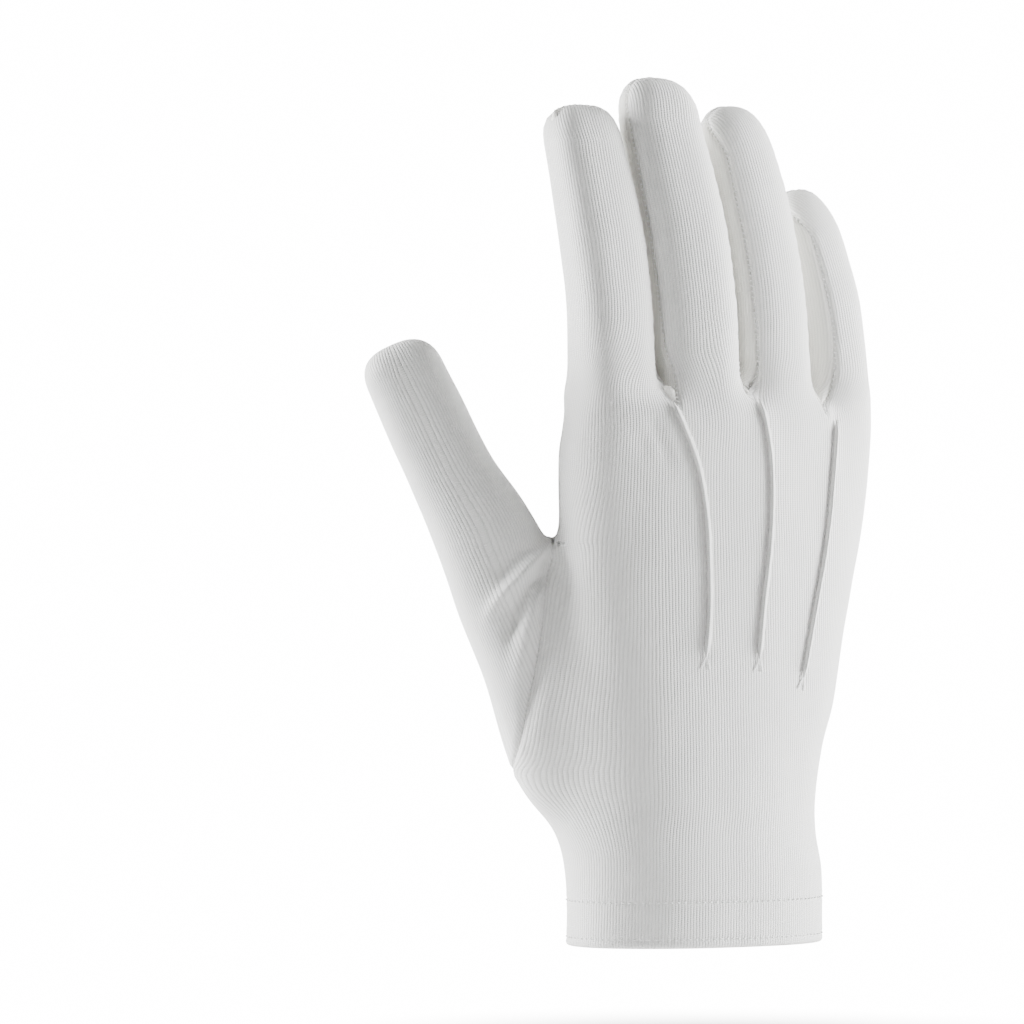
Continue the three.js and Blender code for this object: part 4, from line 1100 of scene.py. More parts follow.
def sheet_mesh(name, sheet, settings, detailed=True):
    """A mesh of one sheet, with its folds, its knit places and its faces pointing outwards."""
    corners = np.concatenate(sheet.corners)
    knits = np.concatenate(sheet.knits)
    keys = np.round(corners.reshape(-1, 3) * 500).astype(np.int64)
    _, first_corner, index_of = np.unique(keys, axis=0, return_index=True, return_inverse=True)
    places = corners.reshape(-1, 3)[first_corner]
    faces = index_of.reshape(-1, 4)
    cross = np.cross(places[faces[:, 2]] - places[faces[:, 0]], places[faces[:, 3]] - places[faces[:, 1]])
    form_normal = normals_of(places)
    way = np.sign((cross * form_normal[faces[:, 0]]).sum())
    normal = np.zeros_like(places)
    for i in range(4):
        np.add.at(normal, faces[:, i], cross * way)
    normal /= np.maximum(np.linalg.norm(normal, axis=1, keepdims=True), 1e-9)
    flags = knits.reshape(-1, knits.shape[-1])[first_corner, 2] if knits.shape[-1] > 2 else None
    if detailed:
        height, distance = cloth_detail(places, settings, flags)
        at_seam = np.exp(-((distance / 1.0) ** 2))[:, None]
        normal = mix(normal, form_normal, at_seam)
        places = places + normal * height[:, None]
    if flags is not None:
        places = draped(places, flags > 0)
    if detailed:
        places = settle(places)
    loops, knit_loops = [], []
    for face, knit in zip(faces.tolist(), knits[..., :2]):
        kept = [i for i in range(4) if face[i] != face[(i + 1) % 4]]
        if len(kept) < 3 or len({face[i] for i in kept}) < 3:
            continue
        if way < 0:
            kept = kept[::-1]
        loops.append([face[i] for i in kept])
        knit_loops.append(knit[kept])
    return smooth_mesh(name, places, loops, knit_loops)


def new_object(name, mesh):
    made = bpy.data.objects.new(name, mesh)
    bpy.context.scene.collection.objects.link(made)
    return made


def applied(made):
    """Turns an object with modifiers into a plain mesh."""
    depsgraph = bpy.context.evaluated_depsgraph_get()
    mesh = bpy.data.meshes.new_from_object(made.evaluated_get(depsgraph), depsgraph=depsgraph)
    made.modifiers.clear()
    made.data = mesh
    return made


def walled(made, wall, outer, inner):
    """Gives a sheet its wall inwards, with a cloth of its own on the inner face."""
    made.data.materials.append(outer)
    made.data.materials.append(inner)
    solidify = made.modifiers.new("wall", "SOLIDIFY")
    solidify.material_offset = 1
    solidify.thickness = wall * MILLIMETRE
    solidify.offset = -1
    solidify.use_even_offset = False
    return applied(made)


def dress(made, material, slot, *nodes):
    """Gives a finished piece its material and its place in the frame."""
    if material:
        made.data.materials.append(material)
    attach(made, "root")
    if nodes:
        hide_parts(*nodes)
    return made


def add_node(tree, kind, inputs=None, **settings):
    """Adds a node whose inputs take a value or another node's output."""
    node = tree.nodes.new(kind)
    for name, value in settings.items():
        setattr(node, name, value)
    feed(tree, node, inputs or {})
    return node


def feed(tree, node, inputs):
    for name, value in inputs.items():
        if isinstance(value, bpy.types.NodeSocket):
            tree.links.new(value, node.inputs[name])
        else:
            node.inputs[name].default_value = value


def math_node(tree, operation, *values):
    return add_node(tree, "ShaderNodeMath", dict(enumerate(values)), operation=operation).outputs[0]


def noise_of(tree, place, scale, detail=2):
    """Fine or broad unevenness in the piece's own axes."""
    noise = add_node(tree, "ShaderNodeTexNoise", {"Vector": place, "Scale": scale, "Detail": detail})
    return noise.outputs["Fac"]


def bumped(tree, height, strength, distance):
    bump = add_node(tree, "ShaderNodeBump", {"Height": height, "Strength": strength, "Distance": distance})
    return bump.outputs["Normal"]


def shaded(tree, share, colour, dark):
    """A colour and a darker one, mixed by a share."""
    inputs = {"Factor": share, "A": (*[c * dark for c in colour], 1), "B": (*colour, 1)}
    return add_node(tree, "ShaderNodeMix", inputs, data_type="RGBA").outputs["Result"]


def new_material(name):
    material = bpy.data.materials.new(name)
    material.use_nodes = True
    tree = material.node_tree
    return material, tree, tree.nodes["Principled BSDF"]


def knit_material(name, colour, knit, relief_and_shade=1.0):
    """Ribbed knit: rounded wales with narrow valleys between them, and small loops along each, with painted
    shade that darkens the colour in the valleys and the loops' dips.
    """
    if name in bpy.data.materials:
        return bpy.data.materials[name]
    material, tree, shader = new_material(name)
    place = add_node(tree, "ShaderNodeTexCoord").outputs["Object"]
    uv = add_node(tree, "ShaderNodeUVMap", uv_map="knit").outputs["UV"]
    split = add_node(tree, "ShaderNodeSeparateXYZ", {0: uv}).outputs
    across = math_node(tree, "MULTIPLY_ADD", noise_of(tree, place, 90, 1), 0.0004, split["X"])
    turns = math_node(tree, "MULTIPLY", across, math.pi / knit.wale_pitch)
    wale = math_node(tree, "ABSOLUTE", math_node(tree, "SINE", turns))
    wale = math_node(tree, "POWER", wale, 0.7)
    odd = math_node(tree, "FLOOR", math_node(tree, "DIVIDE", turns, math.pi))
    odd = math_node(tree, "MULTIPLY", odd, 1.7)
    run = math_node(tree, "MULTIPLY_ADD", split["Y"], 2 * math.pi / knit.course_pitch, odd)
    loop = math_node(tree, "SINE", run)
    height = math_node(tree, "MULTIPLY_ADD", loop, 0.16, wale)
    height = math_node(tree, "MULTIPLY_ADD", noise_of(tree, place, 2600), 0.35, height)
    # Painted shade: the colour is darker in the valleys between the wales and in the loops' dips.
    shade = math_node(tree, "MULTIPLY_ADD", loop, 0.1, wale)
    feed(tree, shader, {
        "Normal": bumped(tree, height, 0.8 * relief_and_shade, 0.00016),
        "Base Color": shaded(tree, shade, colour, 1 - 0.2 * relief_and_shade),
        "Roughness": 0.72,
        "Specular IOR Level": 0.3,
        "Sheen Weight": 0.25,
        "Sheen Roughness": 0.4,
    })
    return material


def thread_material(colour):
    """Twisted white thread."""
    material, tree, shader = new_material("sewing_thread")
    place = add_node(tree, "ShaderNodeTexCoord").outputs["Object"]
    twist = add_node(tree, "ShaderNodeTexWave", {"Vector": place, "Scale": 1400}, bands_direction="DIAGONAL")
    # Painted shade: the colour is darker in the grooves of the twist.
    twist = twist.outputs["Fac"]
    feed(tree, shader, {
        "Normal": bumped(tree, twist, 0.4, 0.00005),
        "Base Color": shaded(tree, twist, colour, 0.9),
        "Roughness": 0.5,
        "Sheen Weight": 0.2,
    })
    return material


def enamel_material(name, colour, roughness):
    """Satin enamel with a slight unevenness."""
    material, tree, shader = new_material(name)
    place = add_node(tree, "ShaderNodeTexCoord").outputs["Object"]
    feed(tree, shader, {
        "Base Color": shaded(tree, noise_of(tree, place, 160, 3), colour, 0.94),
        "Normal": bumped(tree, noise_of(tree, place, 3000), 0.12, 0.00003),
        "Roughness": roughness,
        "Metallic": 0.1,
    })
    return material


# The stitch tree's inputs: name, kind of socket and default
stitch_inputs = [
    ("Geometry", "Geometry", None),
    ("Pitch", "Float", 0.0019),
    ("Length", "Float", 0.0012),
    ("Thickness", "Float", 0.0004),
    ("Slant", "Float", 0.0),
    ("Seed", "Int", 4),
    ("Thread", "Material", None),
]


def stitch_tree():
    """Node tree that lays stitches along a chain of places on the cloth."""
    tree = bpy.data.node_groups.get("stitch_row")
    if tree:
        return tree
    tree = bpy.data.node_groups.new("stitch_row", "GeometryNodeTree")
    for name, kind, default in stitch_inputs:
        socket = tree.interface.new_socket(name, in_out="INPUT", socket_type="NodeSocket" + kind)
        if default is not None:
            socket.default_value = default
    tree.interface.new_socket("Geometry", in_out="OUTPUT", socket_type="NodeSocketGeometry")
    given = add_node(tree, "NodeGroupInput").outputs
    curve = add_node(tree, "GeometryNodeMeshToCurve", {0: given["Geometry"]}).outputs[0]
    marks = add_node(tree, "GeometryNodeResampleCurve", mode="LENGTH")
    feed(tree, marks, {"Curve": curve, "Length": given["Pitch"]})
    ball = add_node(tree, "GeometryNodeMeshUVSphere", {"Segments": 6, "Rings": 4, "Radius": 0.5})
    ball = add_node(tree, "GeometryNodeSetShadeSmooth", {"Geometry": ball.outputs["Mesh"]})
    outward = add_node(tree, "GeometryNodeInputNamedAttribute", data_type="FLOAT_VECTOR")
    feed(tree, outward, {"Name": "out"})
    tangent = add_node(tree, "GeometryNodeInputTangent").outputs[0]
    axes = add_node(tree, "FunctionNodeAxesToRotation", primary_axis="Z", secondary_axis="X")
    feed(tree, axes, {0: outward.outputs["Attribute"], 1: tangent})
    by_chance = {"Min": -0.16, "Max": 0.16, "Seed": given["Seed"]}
    lean = add_node(tree, "FunctionNodeRandomValue", by_chance, data_type="FLOAT").outputs["Value"]
    lean = math_node(tree, "ADD", lean, given["Slant"])
    turn = add_node(tree, "FunctionNodeAxisAngleToRotation", {"Axis": (0, 0, 1), "Angle": lean})
    rotate = add_node(tree, "FunctionNodeRotateRotation", rotation_space="LOCAL")
    feed(tree, rotate, {"Rotation": axes.outputs[0], "Rotate By": turn.outputs["Rotation"]})
    by_chance = {"Min": 0.82, "Max": 1.12, "Seed": given["Seed"]}
    uneven = add_node(tree, "FunctionNodeRandomValue", by_chance, data_type="FLOAT").outputs["Value"]
    long = math_node(tree, "MULTIPLY", given["Length"], uneven)
    size = add_node(tree, "ShaderNodeCombineXYZ", {0: long, 1: given["Thickness"], 2: given["Thickness"]})
    lay = add_node(tree, "GeometryNodeInstanceOnPoints", {
        "Points": marks.outputs["Curve"],
        "Instance": ball.outputs["Geometry"],
        "Rotation": rotate.outputs["Rotation"],
        "Scale": size.outputs[0],
    })
    real = add_node(tree, "GeometryNodeRealizeInstances", {"Geometry": lay.outputs["Instances"]})
    sewn = add_node(tree, "GeometryNodeSetMaterial", {"Geometry": real.outputs["Geometry"]})
    feed(tree, sewn, {"Material": given["Thread"]})
    add_node(tree, "NodeGroupOutput", {"Geometry": sewn.outputs["Geometry"]})
    return tree


def set_inputs(modifier, **values):
    for item in modifier.node_group.interface.items_tree:
        if item.item_type == "SOCKET" and item.in_out == "INPUT" and item.name in values:
            modifier[item.identifier] = values[item.name]


def on_cloth(chain, settings, lift):
    """A chain of places moved onto the finished cloth, and the cloth's outward directions."""
    normal = normals_of(chain)
    height, _ = cloth_detail(chain, settings)
    return settle(chain + normal * (height + lift)[:, None]), normal


def stitched(name, chains, thread, seed, **sizes):
    """Stitches along chains of places, made a plain mesh."""
    points, outs, edges = [], [], []
    for chain, normal in chains:
        start = len(points)
        points.extend(chain.tolist())
        outs.extend(normal.tolist())
        edges.extend((start + i, start + i + 1) for i in range(len(chain) - 1))
    mesh = bpy.data.meshes.new(name)
    mesh.from_pydata([[c * MILLIMETRE for c in point] for point in points], edges, [])
    attribute = mesh.attributes.new("out", "FLOAT_VECTOR", "POINT")
    attribute.data.foreach_set("vector", np.array(outs, dtype=np.float32).ravel())
    made = new_object(name, mesh)
    modifier = made.modifiers.new("stitches", "NODES")
    modifier.node_group = stitch_tree()
    set_inputs(modifier, Seed=seed, Thread=thread, **sizes)
    applied(made)
    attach(made, "root")
    return made


def swept(name, chain, outs, profile, closed):
    """A shape carried along a chain of places. The profile gives places aside and outwards."""
    chain = np.array(chain)
    if closed:
        forward = np.roll(chain, -1, 0) - np.roll(chain, 1, 0)
    else:
        forward = np.gradient(chain, axis=0)
    forward /= np.maximum(np.linalg.norm(forward, axis=1, keepdims=True), 1e-9)
    aside = np.cross(forward, outs)
    aside /= np.maximum(np.linalg.norm(aside, axis=1, keepdims=True), 1e-9)
    profile = np.asarray(profile)
    if profile.ndim == 2:
        profile = np.broadcast_to(profile, (len(chain), *profile.shape))
    places = chain[:, None] + aside[:, None] * profile[..., :1] + outs[:, None] * profile[..., 1:]
    count = profile.shape[1]
    reach = np.concatenate([[0], np.cumsum(np.linalg.norm(np.diff(chain, axis=0), axis=1))])
    rings = len(chain) if closed else len(chain) - 1
    faces, knits = [], []
    for i in range(rings):
        j = (i + 1) % len(chain)
        low, high = reach[i], reach[i + 1] if i + 1 < len(reach) else reach[i] + 0.6
        for k in range(count):
            n = (k + 1) % count
            faces.append([i * count + k, i * count + n, j * count + n, j * count + k])
            across = (k * 0.3, (k + 1) * 0.3)
            knits.append([(across[0], low), (across[1], low), (across[1], high), (across[0], high)])
    if not closed:
        last = (len(chain) - 1) * count
        faces.append(list(range(count))[::-1])
        faces.append([last + k for k in range(count)])
        knits.append([(0, 0)] * count)
        knits.append([(0, 0)] * count)
    return new_object(name, outward_faces(smooth_mesh(name, places.reshape(-1, 3), faces, knits)))


def outward_faces(mesh):
    """Turns a closed mesh's faces outwards."""
    work = bmesh.new()
    work.from_mesh(mesh)
    bmesh.ops.recalc_face_normals(work, faces=work.faces[:])
    work.to_mesh(mesh)
    work.free()
    return mesh


def turned(name, profile, sides, place, out):
    """A shape turned round an axis through a place."""
    out = np.array(out) / np.linalg.norm(out)
    aside = np.cross(out, [0, 0, 1])
    aside /= np.linalg.norm(aside)
    upward = np.cross(aside, out)
    angles = np.linspace(0, 2 * math.pi, sides, endpoint=False)
    circle = np.cos(angles)[:, None] * aside + np.sin(angles)[:, None] * upward
    points, faces = [], []
    for radius, height in profile[1:-1]:
        points.extend((place + circle * radius + out * height).tolist())
    rings = len(profile) - 2
    for i in range(rings - 1):
        for k in range(sides):
            n = (k + 1) % sides
            faces.append([i * sides + k, i * sides + n, (i + 1) * sides + n, (i + 1) * sides + k])
    for ring_start, end in ((0, profile[0]), ((rings - 1) * sides, profile[-1])):
        points.append((place + out * end[1]).tolist())
        tip = len(points) - 1
        for k in range(sides):
            faces.append([ring_start + k, ring_start + (k + 1) % sides, tip])
    return new_object(name, outward_faces(smooth_mesh(name, points, faces)))


class GloveKnit(bpy.types.PropertyGroup):
    """Look of the knit."""

    wale_pitch: FloatProperty(name="Wale pitch", description="Breadth of one rib of the knit",
                              default=0.00088, unit="LENGTH", precision=5)
    course_pitch: FloatProperty(name="Course pitch", description="Length of one loop of the knit",
                                default=0.0006, unit="LENGTH", precision=5)
    colour: FloatVectorProperty(name="Cloth", description="Colour of the cloth", subtype="COLOR",
                                default=(0.86, 0.86, 0.84), size=3)
    # The colour of the side strips and of the inner face: the cloth's slight ivory tint, darkened as painted
    # shade that falls between the fingers.
    ivory_and_shade_colour: FloatVectorProperty(name="Side strips", description="Colour of the cloth between fingers",
                                     default=(0.84, 0.835, 0.79), subtype="COLOR", size=3)
    # Strength of the inner face's painted glow, which stands in for light that comes through the thin cloth.
    through: FloatProperty(name="Light through", description="Light that comes through the thin cloth",
                           default=0.35)
    thread_colour: FloatVectorProperty(name="Thread", description="Colour of the sewing thread",
                                       default=(0.93, 0.93, 0.92), subtype="COLOR", size=3)


class GloveSewing(bpy.types.PropertyGroup):
    """Sizes of the seams and the stitching."""

    groove_depth: FloatProperty(name="Seam groove", description="Depth of the groove along a seam",
                                default=0.00055, unit="LENGTH", precision=5)
    hem_pitch: FloatProperty(name="Hem pitch", description="Distance from stitch to stitch on the hem",
                             default=0.0019, unit="LENGTH", precision=5)
    seam_pitch: FloatProperty(name="Seam pitch", description="Distance from stitch to stitch on the seams",
                              default=0.0015, unit="LENGTH", precision=5)
    thread: FloatProperty(name="Thread", description="Thickness of the sewing thread", default=0.00036,
                          unit="LENGTH", precision=5)
    tuck_height: FloatProperty(name="Tuck height", description="Height of the raised tucks on the back",
                               default=0.00105, unit="LENGTH", precision=5)
    tuck_breadth: FloatProperty(name="Tuck breadth", description="Breadth of the raised tucks",
                                default=0.0017, unit="LENGTH", precision=5)


class GloveStud(bpy.types.PropertyGroup):
    """The press stud's cap."""

    radius: FloatProperty(name="Radius", description="Radius of the cap", default=stud_radius * MILLIMETRE,
                          unit="LENGTH", precision=5)
    height: FloatProperty(name="Height", description="Height of the cap", default=0.0019,
                          unit="LENGTH", precision=5)
    sides: IntProperty(name="Sides", description="Steps round the cap", default=96, min=24)
    colour: FloatVectorProperty(name="Enamel", description="Colour of the cap's enamel",
                                default=(0.42, 0.47, 0.445), subtype="COLOR", size=3)


class GloveStage(bpy.types.PropertyGroup):
    """Camera and light."""

    distance: FloatProperty(name="Camera distance", description="From the camera to the glove", default=2.0,
                            unit="LENGTH")
    field: FloatProperty(name="Field", description="Breadth that the camera sees at the glove",
                         default=0.2839, unit="LENGTH", precision=4)
    drop: FloatProperty(name="Floor", description="How far the floor lies below the cuff", default=0.026,
                        unit="LENGTH", precision=4)
    light: FloatProperty(name="Light", description="Strength of the studio lights", default=1.0)
    fill: FloatProperty(name="Fill", description="Strength of the soft light from all round", default=0.09)
    surround: FloatProperty(name="Surround", description="Brightness of the white seen behind the glove",
                            default=16.0)


prepared = {}


def glove_model():
    """The laid sheets, made once."""
    if "model" not in prepared:
        prepared["model"] = Model()
    return prepared["model"]


def cloth_knits(scene):
    """The cloth's outer face, and its inner face in the darker ivory colour with a painted glow that stands
    in for the light that comes through it.
    """
    knit = scene.glove_knit
    outer = knit_material("white_knit", tuple(knit.colour), knit)
    inner = knit_material("inner_knit", tuple(knit.ivory_and_shade_colour), knit, 0.5)
    shader = inner.node_tree.nodes["Principled BSDF"]
    # Painted glow: the inner face emits light of its own in place of light coming through the cloth.
    shader.inputs["Emission Color"].default_value = (*knit.ivory_and_shade_colour, 1)
    shader.inputs["Emission Strength"].default_value = knit.through
    return outer, inner


def cloth_piece(context, name, node, slot, sheet, wall, outer=None, detailed=True):
    """Makes one sheet of cloth with its wall, in place of a node of the frame."""
    front, back = cloth_knits(context.scene)
    mesh = sheet_mesh(name, sheet, context.scene.glove_sewing, detailed)
    made = walled(new_object(name, mesh), wall, outer or front, back)
    dress(made, None, slot, node)


class GLOVE_OT_trank(bpy.types.Operator):
    """Make the main cloth of the glove with its folds"""

    bl_idname = "glove.trank"
    bl_label = "Make the main cloth"

    def execute(self, context):
        cloth_piece(context, "trank_cloth", "trank", "cloth", glove_model().trank, cloth_wall)
        return {"FINISHED"}


class GLOVE_OT_thumb(bpy.types.Operator):
    """Make the thumb's tube of cloth"""

    bl_idname = "glove.thumb"
    bl_label = "Make the thumb"

    def execute(self, context):
        cloth_piece(context, "thumb_cloth", "thumb", "thumb_cloth", glove_model().thumb, cloth_wall)
        return {"FINISHED"}


class GLOVE_OT_side_strips(bpy.types.Operator):
    """Make the folded strips between the fingers"""

    bl_idname = "glove.side_strips"
    bl_label = "Make the side strips"

    def execute(self, context):
        knit = context.scene.glove_knit
        # The side strips take the darker ivory colour: partly their own tint, partly painted shade between
        # the fingers.
        material = knit_material("side_knit_shaded", tuple(knit.ivory_and_shade_colour), knit, 0.8)
        nodes = ("fourchette_index_middle", "fourchette_middle_ring", "fourchette_ring_little")
        for node, sheet in zip(nodes, glove_model().fourchettes):
            name = node.replace("fourchette", "strip")
            cloth_piece(context, name, node, "fourchette_cloth", sheet, cloth_wall * 0.9, material)
        return {"FINISHED"}


class GLOVE_OT_tucks(bpy.types.Operator):
    """Make the three raised tucks on the back"""

    bl_idname = "glove.tucks"
    bl_label = "Make the tucks"

    def execute(self, context):
        model = glove_model()
        sewing = context.scene.glove_sewing
        half = sewing.tuck_breadth / MILLIMETRE / 2
        tall = sewing.tuck_height / MILLIMETRE
        turn = np.linspace(0, math.pi, 9)
        arch = np.stack([-half * np.cos(turn) + 0.45 * np.sin(turn) ** 2, tall * np.sin(turn)], -1)
        arch = np.concatenate([arch, [[half, -0.5], [-half, -0.5]]])
        material = cloth_knits(context.scene)[0]
        for i, chain in enumerate(model.tucks):
            chain, outs = on_cloth(chain, sewing, 0.3)
            reach = np.linspace(0, 1, len(chain))
            slim = smooth(reach / 0.05) * smooth((1 - reach) / 0.04)
            wobble = 1 + 0.05 * np.sin(reach * 95 + i) + 0.04 * np.sin(reach * 37)
            profile = arch[None] * (0.25 + 0.75 * slim * wobble)[:, None, None]
            made = swept(f"tuck_{i + 1}", chain, outs, profile, False)
            dress(made, material, "tuck_cloth", f"back_point_{i + 1}")
        return {"FINISHED"}


class GLOVE_OT_cuff(bpy.types.Operator):
    """Make the turned hem, the patch behind the vent and the vent's rolled rim"""

    bl_idname = "glove.cuff"
    bl_label = "Make the cuff's parts"

    def execute(self, context):
        model = glove_model()
        material = cloth_knits(context.scene)[0]
        for node, sheet in (("hem_turn", model.hem), ("vent_facing", model.facing)):
            cloth_piece(context, node + "_cloth", node, "hem_cloth", sheet, 0.9, detailed=False)
        loop = np.concatenate([model.hole_loop, model.hole_loop[:1]])
        loop = polyline(loop, 0.5)[:-1]
        for _ in range(8):
            loop = 0.5 * loop + 0.25 * (np.roll(loop, 1, 0) + np.roll(loop, -1, 0))
        turn = np.linspace(0, 2 * math.pi, 14, endpoint=False)
        oval = np.stack([0.3 + 1.1 * np.cos(turn), 0.1 + 1.0 * np.sin(turn)], -1)
        made = swept("vent_rim", loop, normals_of(loop), oval, True)
        dress(made, material, "binding_cloth", "vent_binding")
        return {"FINISHED"}


class GLOVE_OT_stud(bpy.types.Operator):
    """Make the press stud"""

    bl_idname = "glove.stud"
    bl_label = "Make the press stud"

    def execute(self, context):
        stud = context.scene.glove_stud
        radius = stud.radius / MILLIMETRE
        tall = stud.height / MILLIMETRE
        centre = on_form(np.array([[stud_across, cuff_depth / 2, stud_up]]))
        out = normals_of(centre)[0]
        base = centre[0] + out * (flap_step / 2 + 0.1)
        rim = [(0, -0.5), (0.93, -0.5), (0.985, -0.3), (1, 0.05), (0.985, 0.32), (0.95, 0.48), (0.925, 0.5),
               (0.905, 0.42), (0.885, 0.41), (0.86, 0.47), (0.75, 0.56), (0.58, 0.64), (0.38, 0.7),
               (0.15, 0.73), (0, 0.735)]
        profile = [(radius * r, tall * h) for r, h in rim]
        material = enamel_material("stud_enamel", tuple(stud.colour), 0.45)
        cap = turned("stud_cap", profile, stud.sides, base, out)
        dress(cap, material, "snap_metal", "snap_cap")
        low, high = np.array(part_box("snap_post")) / MILLIMETRE
        middle = (low + high) / 2
        deep = (high[1] - low[1]) / 2 - 0.4
        wide = (high[0] - low[0]) / 2 * 0.94
        socket = [(0, -deep), (wide * 0.9, -deep), (wide, 0.3 - deep), (wide, 0.9 - deep),
                  (wide * 0.5, 1.2 - deep), (wide * 0.5, deep - 1.2), (wide * 0.56, deep), (0, deep)]
        post = turned("stud_post", socket, 48, middle, out)
        dress(post, enamel_material("stud_metal", (0.5, 0.5, 0.49), 0.4), "snap_metal", "snap_post")
        return {"FINISHED"}


class GLOVE_OT_stitches(bpy.types.Operator):
    """Sew the hem, the vent's patch, the fingers, the thumb and the tucks"""

    bl_idname = "glove.stitches"
    bl_label = "Sew the stitches"

    def execute(self, context):
        model = glove_model()
        sewing = context.scene.glove_sewing
        thread = thread_material(tuple(context.scene.glove_knit.thread_colour))
        thick = sewing.thread

        def laid(chain, lift, spacing=0.5):
            return on_cloth(polyline(chain, spacing), sewing, lift)

        def hemmed(chain, lift):
            places, outs = laid(chain, lift)
            return draped(places, np.arange(len(places)) < len(places) / 2), outs

        upper = [hemmed(model.hem_lines[0], 0.1)]
        stitched("hem_stitches", upper, thread, 4, Pitch=sewing.hem_pitch, Length=0.0011,
                 Thickness=thick * 1.35)
        lower = [hemmed(model.hem_lines[1], 0.06)]
        stitched("edge_stitches", lower, thread, 5, Pitch=sewing.hem_pitch, Length=0.0011, Thickness=thick)
        stitched("vent_stitches", [laid(model.arc_line, 0.1)], thread, 6,
                 Pitch=sewing.hem_pitch, Length=0.0011, Thickness=thick * 1.2)
        seams = [laid(chain, 0.4) for kind, chain in model.seams if kind == "dorsal"]
        stitched("finger_stitches", seams, thread, 7, Pitch=sewing.seam_pitch, Length=0.0010,
                 Thickness=thick * 1.2, Slant=1.0)
        seams = [laid(chain[3:-3], 0.1) for kind, chain in model.seams if kind == "thumb"]
        stitched("thumb_stitches", seams, thread, 8, Pitch=sewing.seam_pitch, Length=0.0009,
                 Thickness=thick * 0.8, Slant=1.1)
        beside, forks = [], []
        for chain in model.tucks:
            outs = normals_of(chain)
            forward = np.gradient(chain, axis=0)
            aside = np.cross(forward, outs)
            aside /= np.linalg.norm(aside, axis=1, keepdims=True)
            left = on_form(chain + aside * 1.15)
            beside.append(laid(left[10:], 0.05))
            end, down = chain[-1], forward[-1] / np.linalg.norm(forward[-1])
            for way in (-1, 1):
                fork = end + np.outer(np.linspace(-1.2, 3.2, 8), down)
                fork += np.outer(way * np.linspace(0, 1, 8) ** 1.3 * 1.25, aside[-1])
                forks.append(laid(on_form(fork), 0.2, 0.3))
        stitched("tuck_stitches", beside, thread, 9, Pitch=0.00145, Length=0.0008, Thickness=thick * 0.85)
        stitched("tuck_ends", forks, thread, 10, Pitch=0.00035, Length=0.0009,
                 Thickness=thick * 0.9, Slant=1.45)
        return {"FINISHED"}


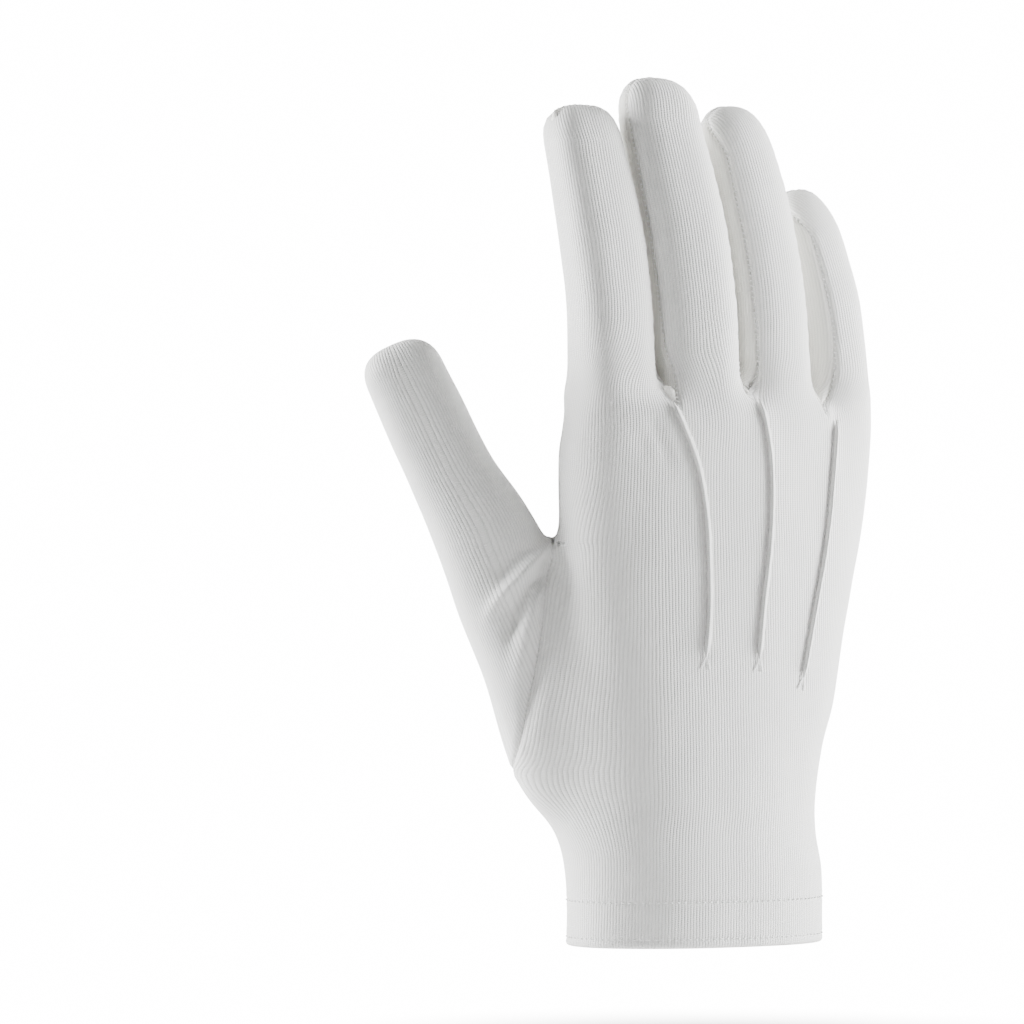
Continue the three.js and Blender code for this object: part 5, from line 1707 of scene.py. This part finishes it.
class GLOVE_OT_stage(bpy.types.Operator):
    """Set the floor, the light and the camera"""

    bl_idname = "glove.stage"
    bl_label = "Set the stage"

    def execute(self, context):
        stage = context.scene.glove_stage
        # A pale floor that goes over into the surround's white away from the glove
        white, tree, shader = new_material("studio_white")
        feed(tree, shader, {
            "Base Color": (0.92, 0.92, 0.92, 1),
            "Roughness": 0.9,
            "Specular IOR Level": 0.1,
        })
        place = add_node(tree, "ShaderNodeTexCoord").outputs["Object"]
        reach = add_node(tree, "ShaderNodeVectorMath", {0: place}, operation="LENGTH").outputs["Value"]
        share = add_node(tree, "ShaderNodeMapRange", interpolation_type="SMOOTHSTEP")
        feed(tree, share, {"Value": reach, "From Min": 0.03, "From Max": 0.13})
        glow = add_node(tree, "ShaderNodeEmission", {"Strength": stage.surround})
        by_camera = add_node(tree, "ShaderNodeLightPath").outputs["Is Camera Ray"]
        away = math_node(tree, "MULTIPLY", share.outputs["Result"], by_camera)
        joined = add_node(tree, "ShaderNodeMixShader", {0: away, 1: shader.outputs[0], 2: glow.outputs[0]})
        feed(tree, tree.nodes["Material Output"], {"Surface": joined.outputs[0]})
        sides = 64
        stage_floor = -stage.drop
        rings = [0.1, 0.5, 4.0]
        places = [(0, 0, stage_floor)]
        for ring in rings:
            for k in range(sides):
                turn = 2 * math.pi * k / sides
                places.append((ring * math.cos(turn), ring * math.sin(turn), stage_floor))
        faces = [[0, 1 + k, 1 + (k + 1) % sides] for k in range(sides)]
        for i in range(len(rings) - 1):
            for k in range(sides):
                low, high = 1 + i * sides, 1 + (i + 1) * sides
                n = (k + 1) % sides
                faces.append([low + k, high + k, high + n, low + n])
        mesh = bpy.data.meshes.new("floor")
        mesh.from_pydata(places, [], faces)
        mesh.materials.append(white)
        new_object("floor", mesh)
        azimuth = math.radians(-30)
        sight = np.array([-math.sin(azimuth), math.cos(azimuth), 0.0])

        # The camera looks level at the middle of the photograph
        target = from_view(-50.7, 0.0, 119.5) * MILLIMETRE
        eye = target - sight * stage.distance
        camera = bpy.data.cameras.new("camera")
        camera.sensor_width = 36
        camera.lens = 36 * stage.distance / stage.field
        camera.clip_start = 0.05
        camera.clip_end = 50
        made = new_object("camera", camera)
        made.location = eye.tolist()
        made.rotation_euler = (math.pi / 2, 0, azimuth)
        context.scene.camera = made

        centre = np.array([0, 0, 0.12])
        lights = [
            ("left_box", -102, 8, 1.2, 0.9, 72),
            ("right_box", 102, 8, 1.2, 0.9, 80),
            ("top_box", 0, 80, 1.4, 0.8, 6),
        ]
        for name, turn, rise, away, size, power in lights:
            turn = azimuth + math.radians(turn)
            rise = math.radians(rise)
            level = math.cos(rise)
            way = np.array([math.sin(turn) * level, -math.cos(turn) * level, math.sin(rise)])
            lamp = bpy.data.lights.new(name, "AREA")
            lamp.shape = "SQUARE"
            lamp.size = size
            lamp.energy = power * stage.light
            made = new_object(name, lamp)
            made.location = (centre + way * away).tolist()
            made.rotation_euler = (math.pi / 2 - rise, 0, turn)
        # The surround lights the glove softly and is seen as plain white
        world = bpy.data.worlds.new("studio")
        world.use_nodes = True
        tree = world.node_tree
        soft = tree.nodes["Background"]
        feed(tree, soft, {"Color": (1, 1, 1, 1), "Strength": stage.fill})
        plain = add_node(tree, "ShaderNodeBackground", {"Color": (1, 1, 1, 1), "Strength": stage.surround})
        by_camera = add_node(tree, "ShaderNodeLightPath").outputs["Is Camera Ray"]
        shown = {0: by_camera, 1: soft.outputs[0], 2: plain.outputs[0]}
        joined = add_node(tree, "ShaderNodeMixShader", shown)
        feed(tree, tree.nodes["World Output"], {"Surface": joined.outputs[0]})
        context.scene.world = world
        return {"FINISHED"}


class GLOVE_PT_panel(bpy.types.Panel):
    """The glove's sizes and steps"""

    bl_idname = "GLOVE_PT_panel"
    bl_label = "White parade glove"
    bl_space_type = "VIEW_3D"
    bl_region_type = "UI"
    bl_category = "Glove"

    def draw(self, context):
        layout = self.layout
        for name, group in property_groups.items():
            box = layout.box()
            box.label(text=group.__doc__)
            for field_name in group.__annotations__:
                box.prop(getattr(context.scene, name), field_name)
        for operator in operators:
            layout.operator(operator.bl_idname)


property_groups = {
    "glove_knit": GloveKnit,
    "glove_sewing": GloveSewing,
    "glove_stud": GloveStud,
    "glove_stage": GloveStage,
}
operators = [
    GLOVE_OT_trank, GLOVE_OT_thumb, GLOVE_OT_side_strips, GLOVE_OT_tucks,
    GLOVE_OT_cuff, GLOVE_OT_stud, GLOVE_OT_stitches, GLOVE_OT_stage,
]


def register():
    for kind in [*property_groups.values(), *operators, GLOVE_PT_panel]:
        bpy.utils.register_class(kind)
    for name, group in property_groups.items():
        setattr(bpy.types.Scene, name, PointerProperty(type=group))


def unregister():
    for name in property_groups:
        delattr(bpy.types.Scene, name)
    for kind in [GLOVE_PT_panel, *reversed(operators), *reversed(property_groups.values())]:
        bpy.utils.unregister_class(kind)


def main():
    register()
    bpy.ops.glove.trank()
    bpy.ops.glove.thumb()
    bpy.ops.glove.side_strips()
    bpy.ops.glove.tucks()
    bpy.ops.glove.cuff()
    bpy.ops.glove.stud()
    bpy.ops.glove.stitches()
    bpy.ops.glove.stage()


if __name__ == "__main__":
    main()
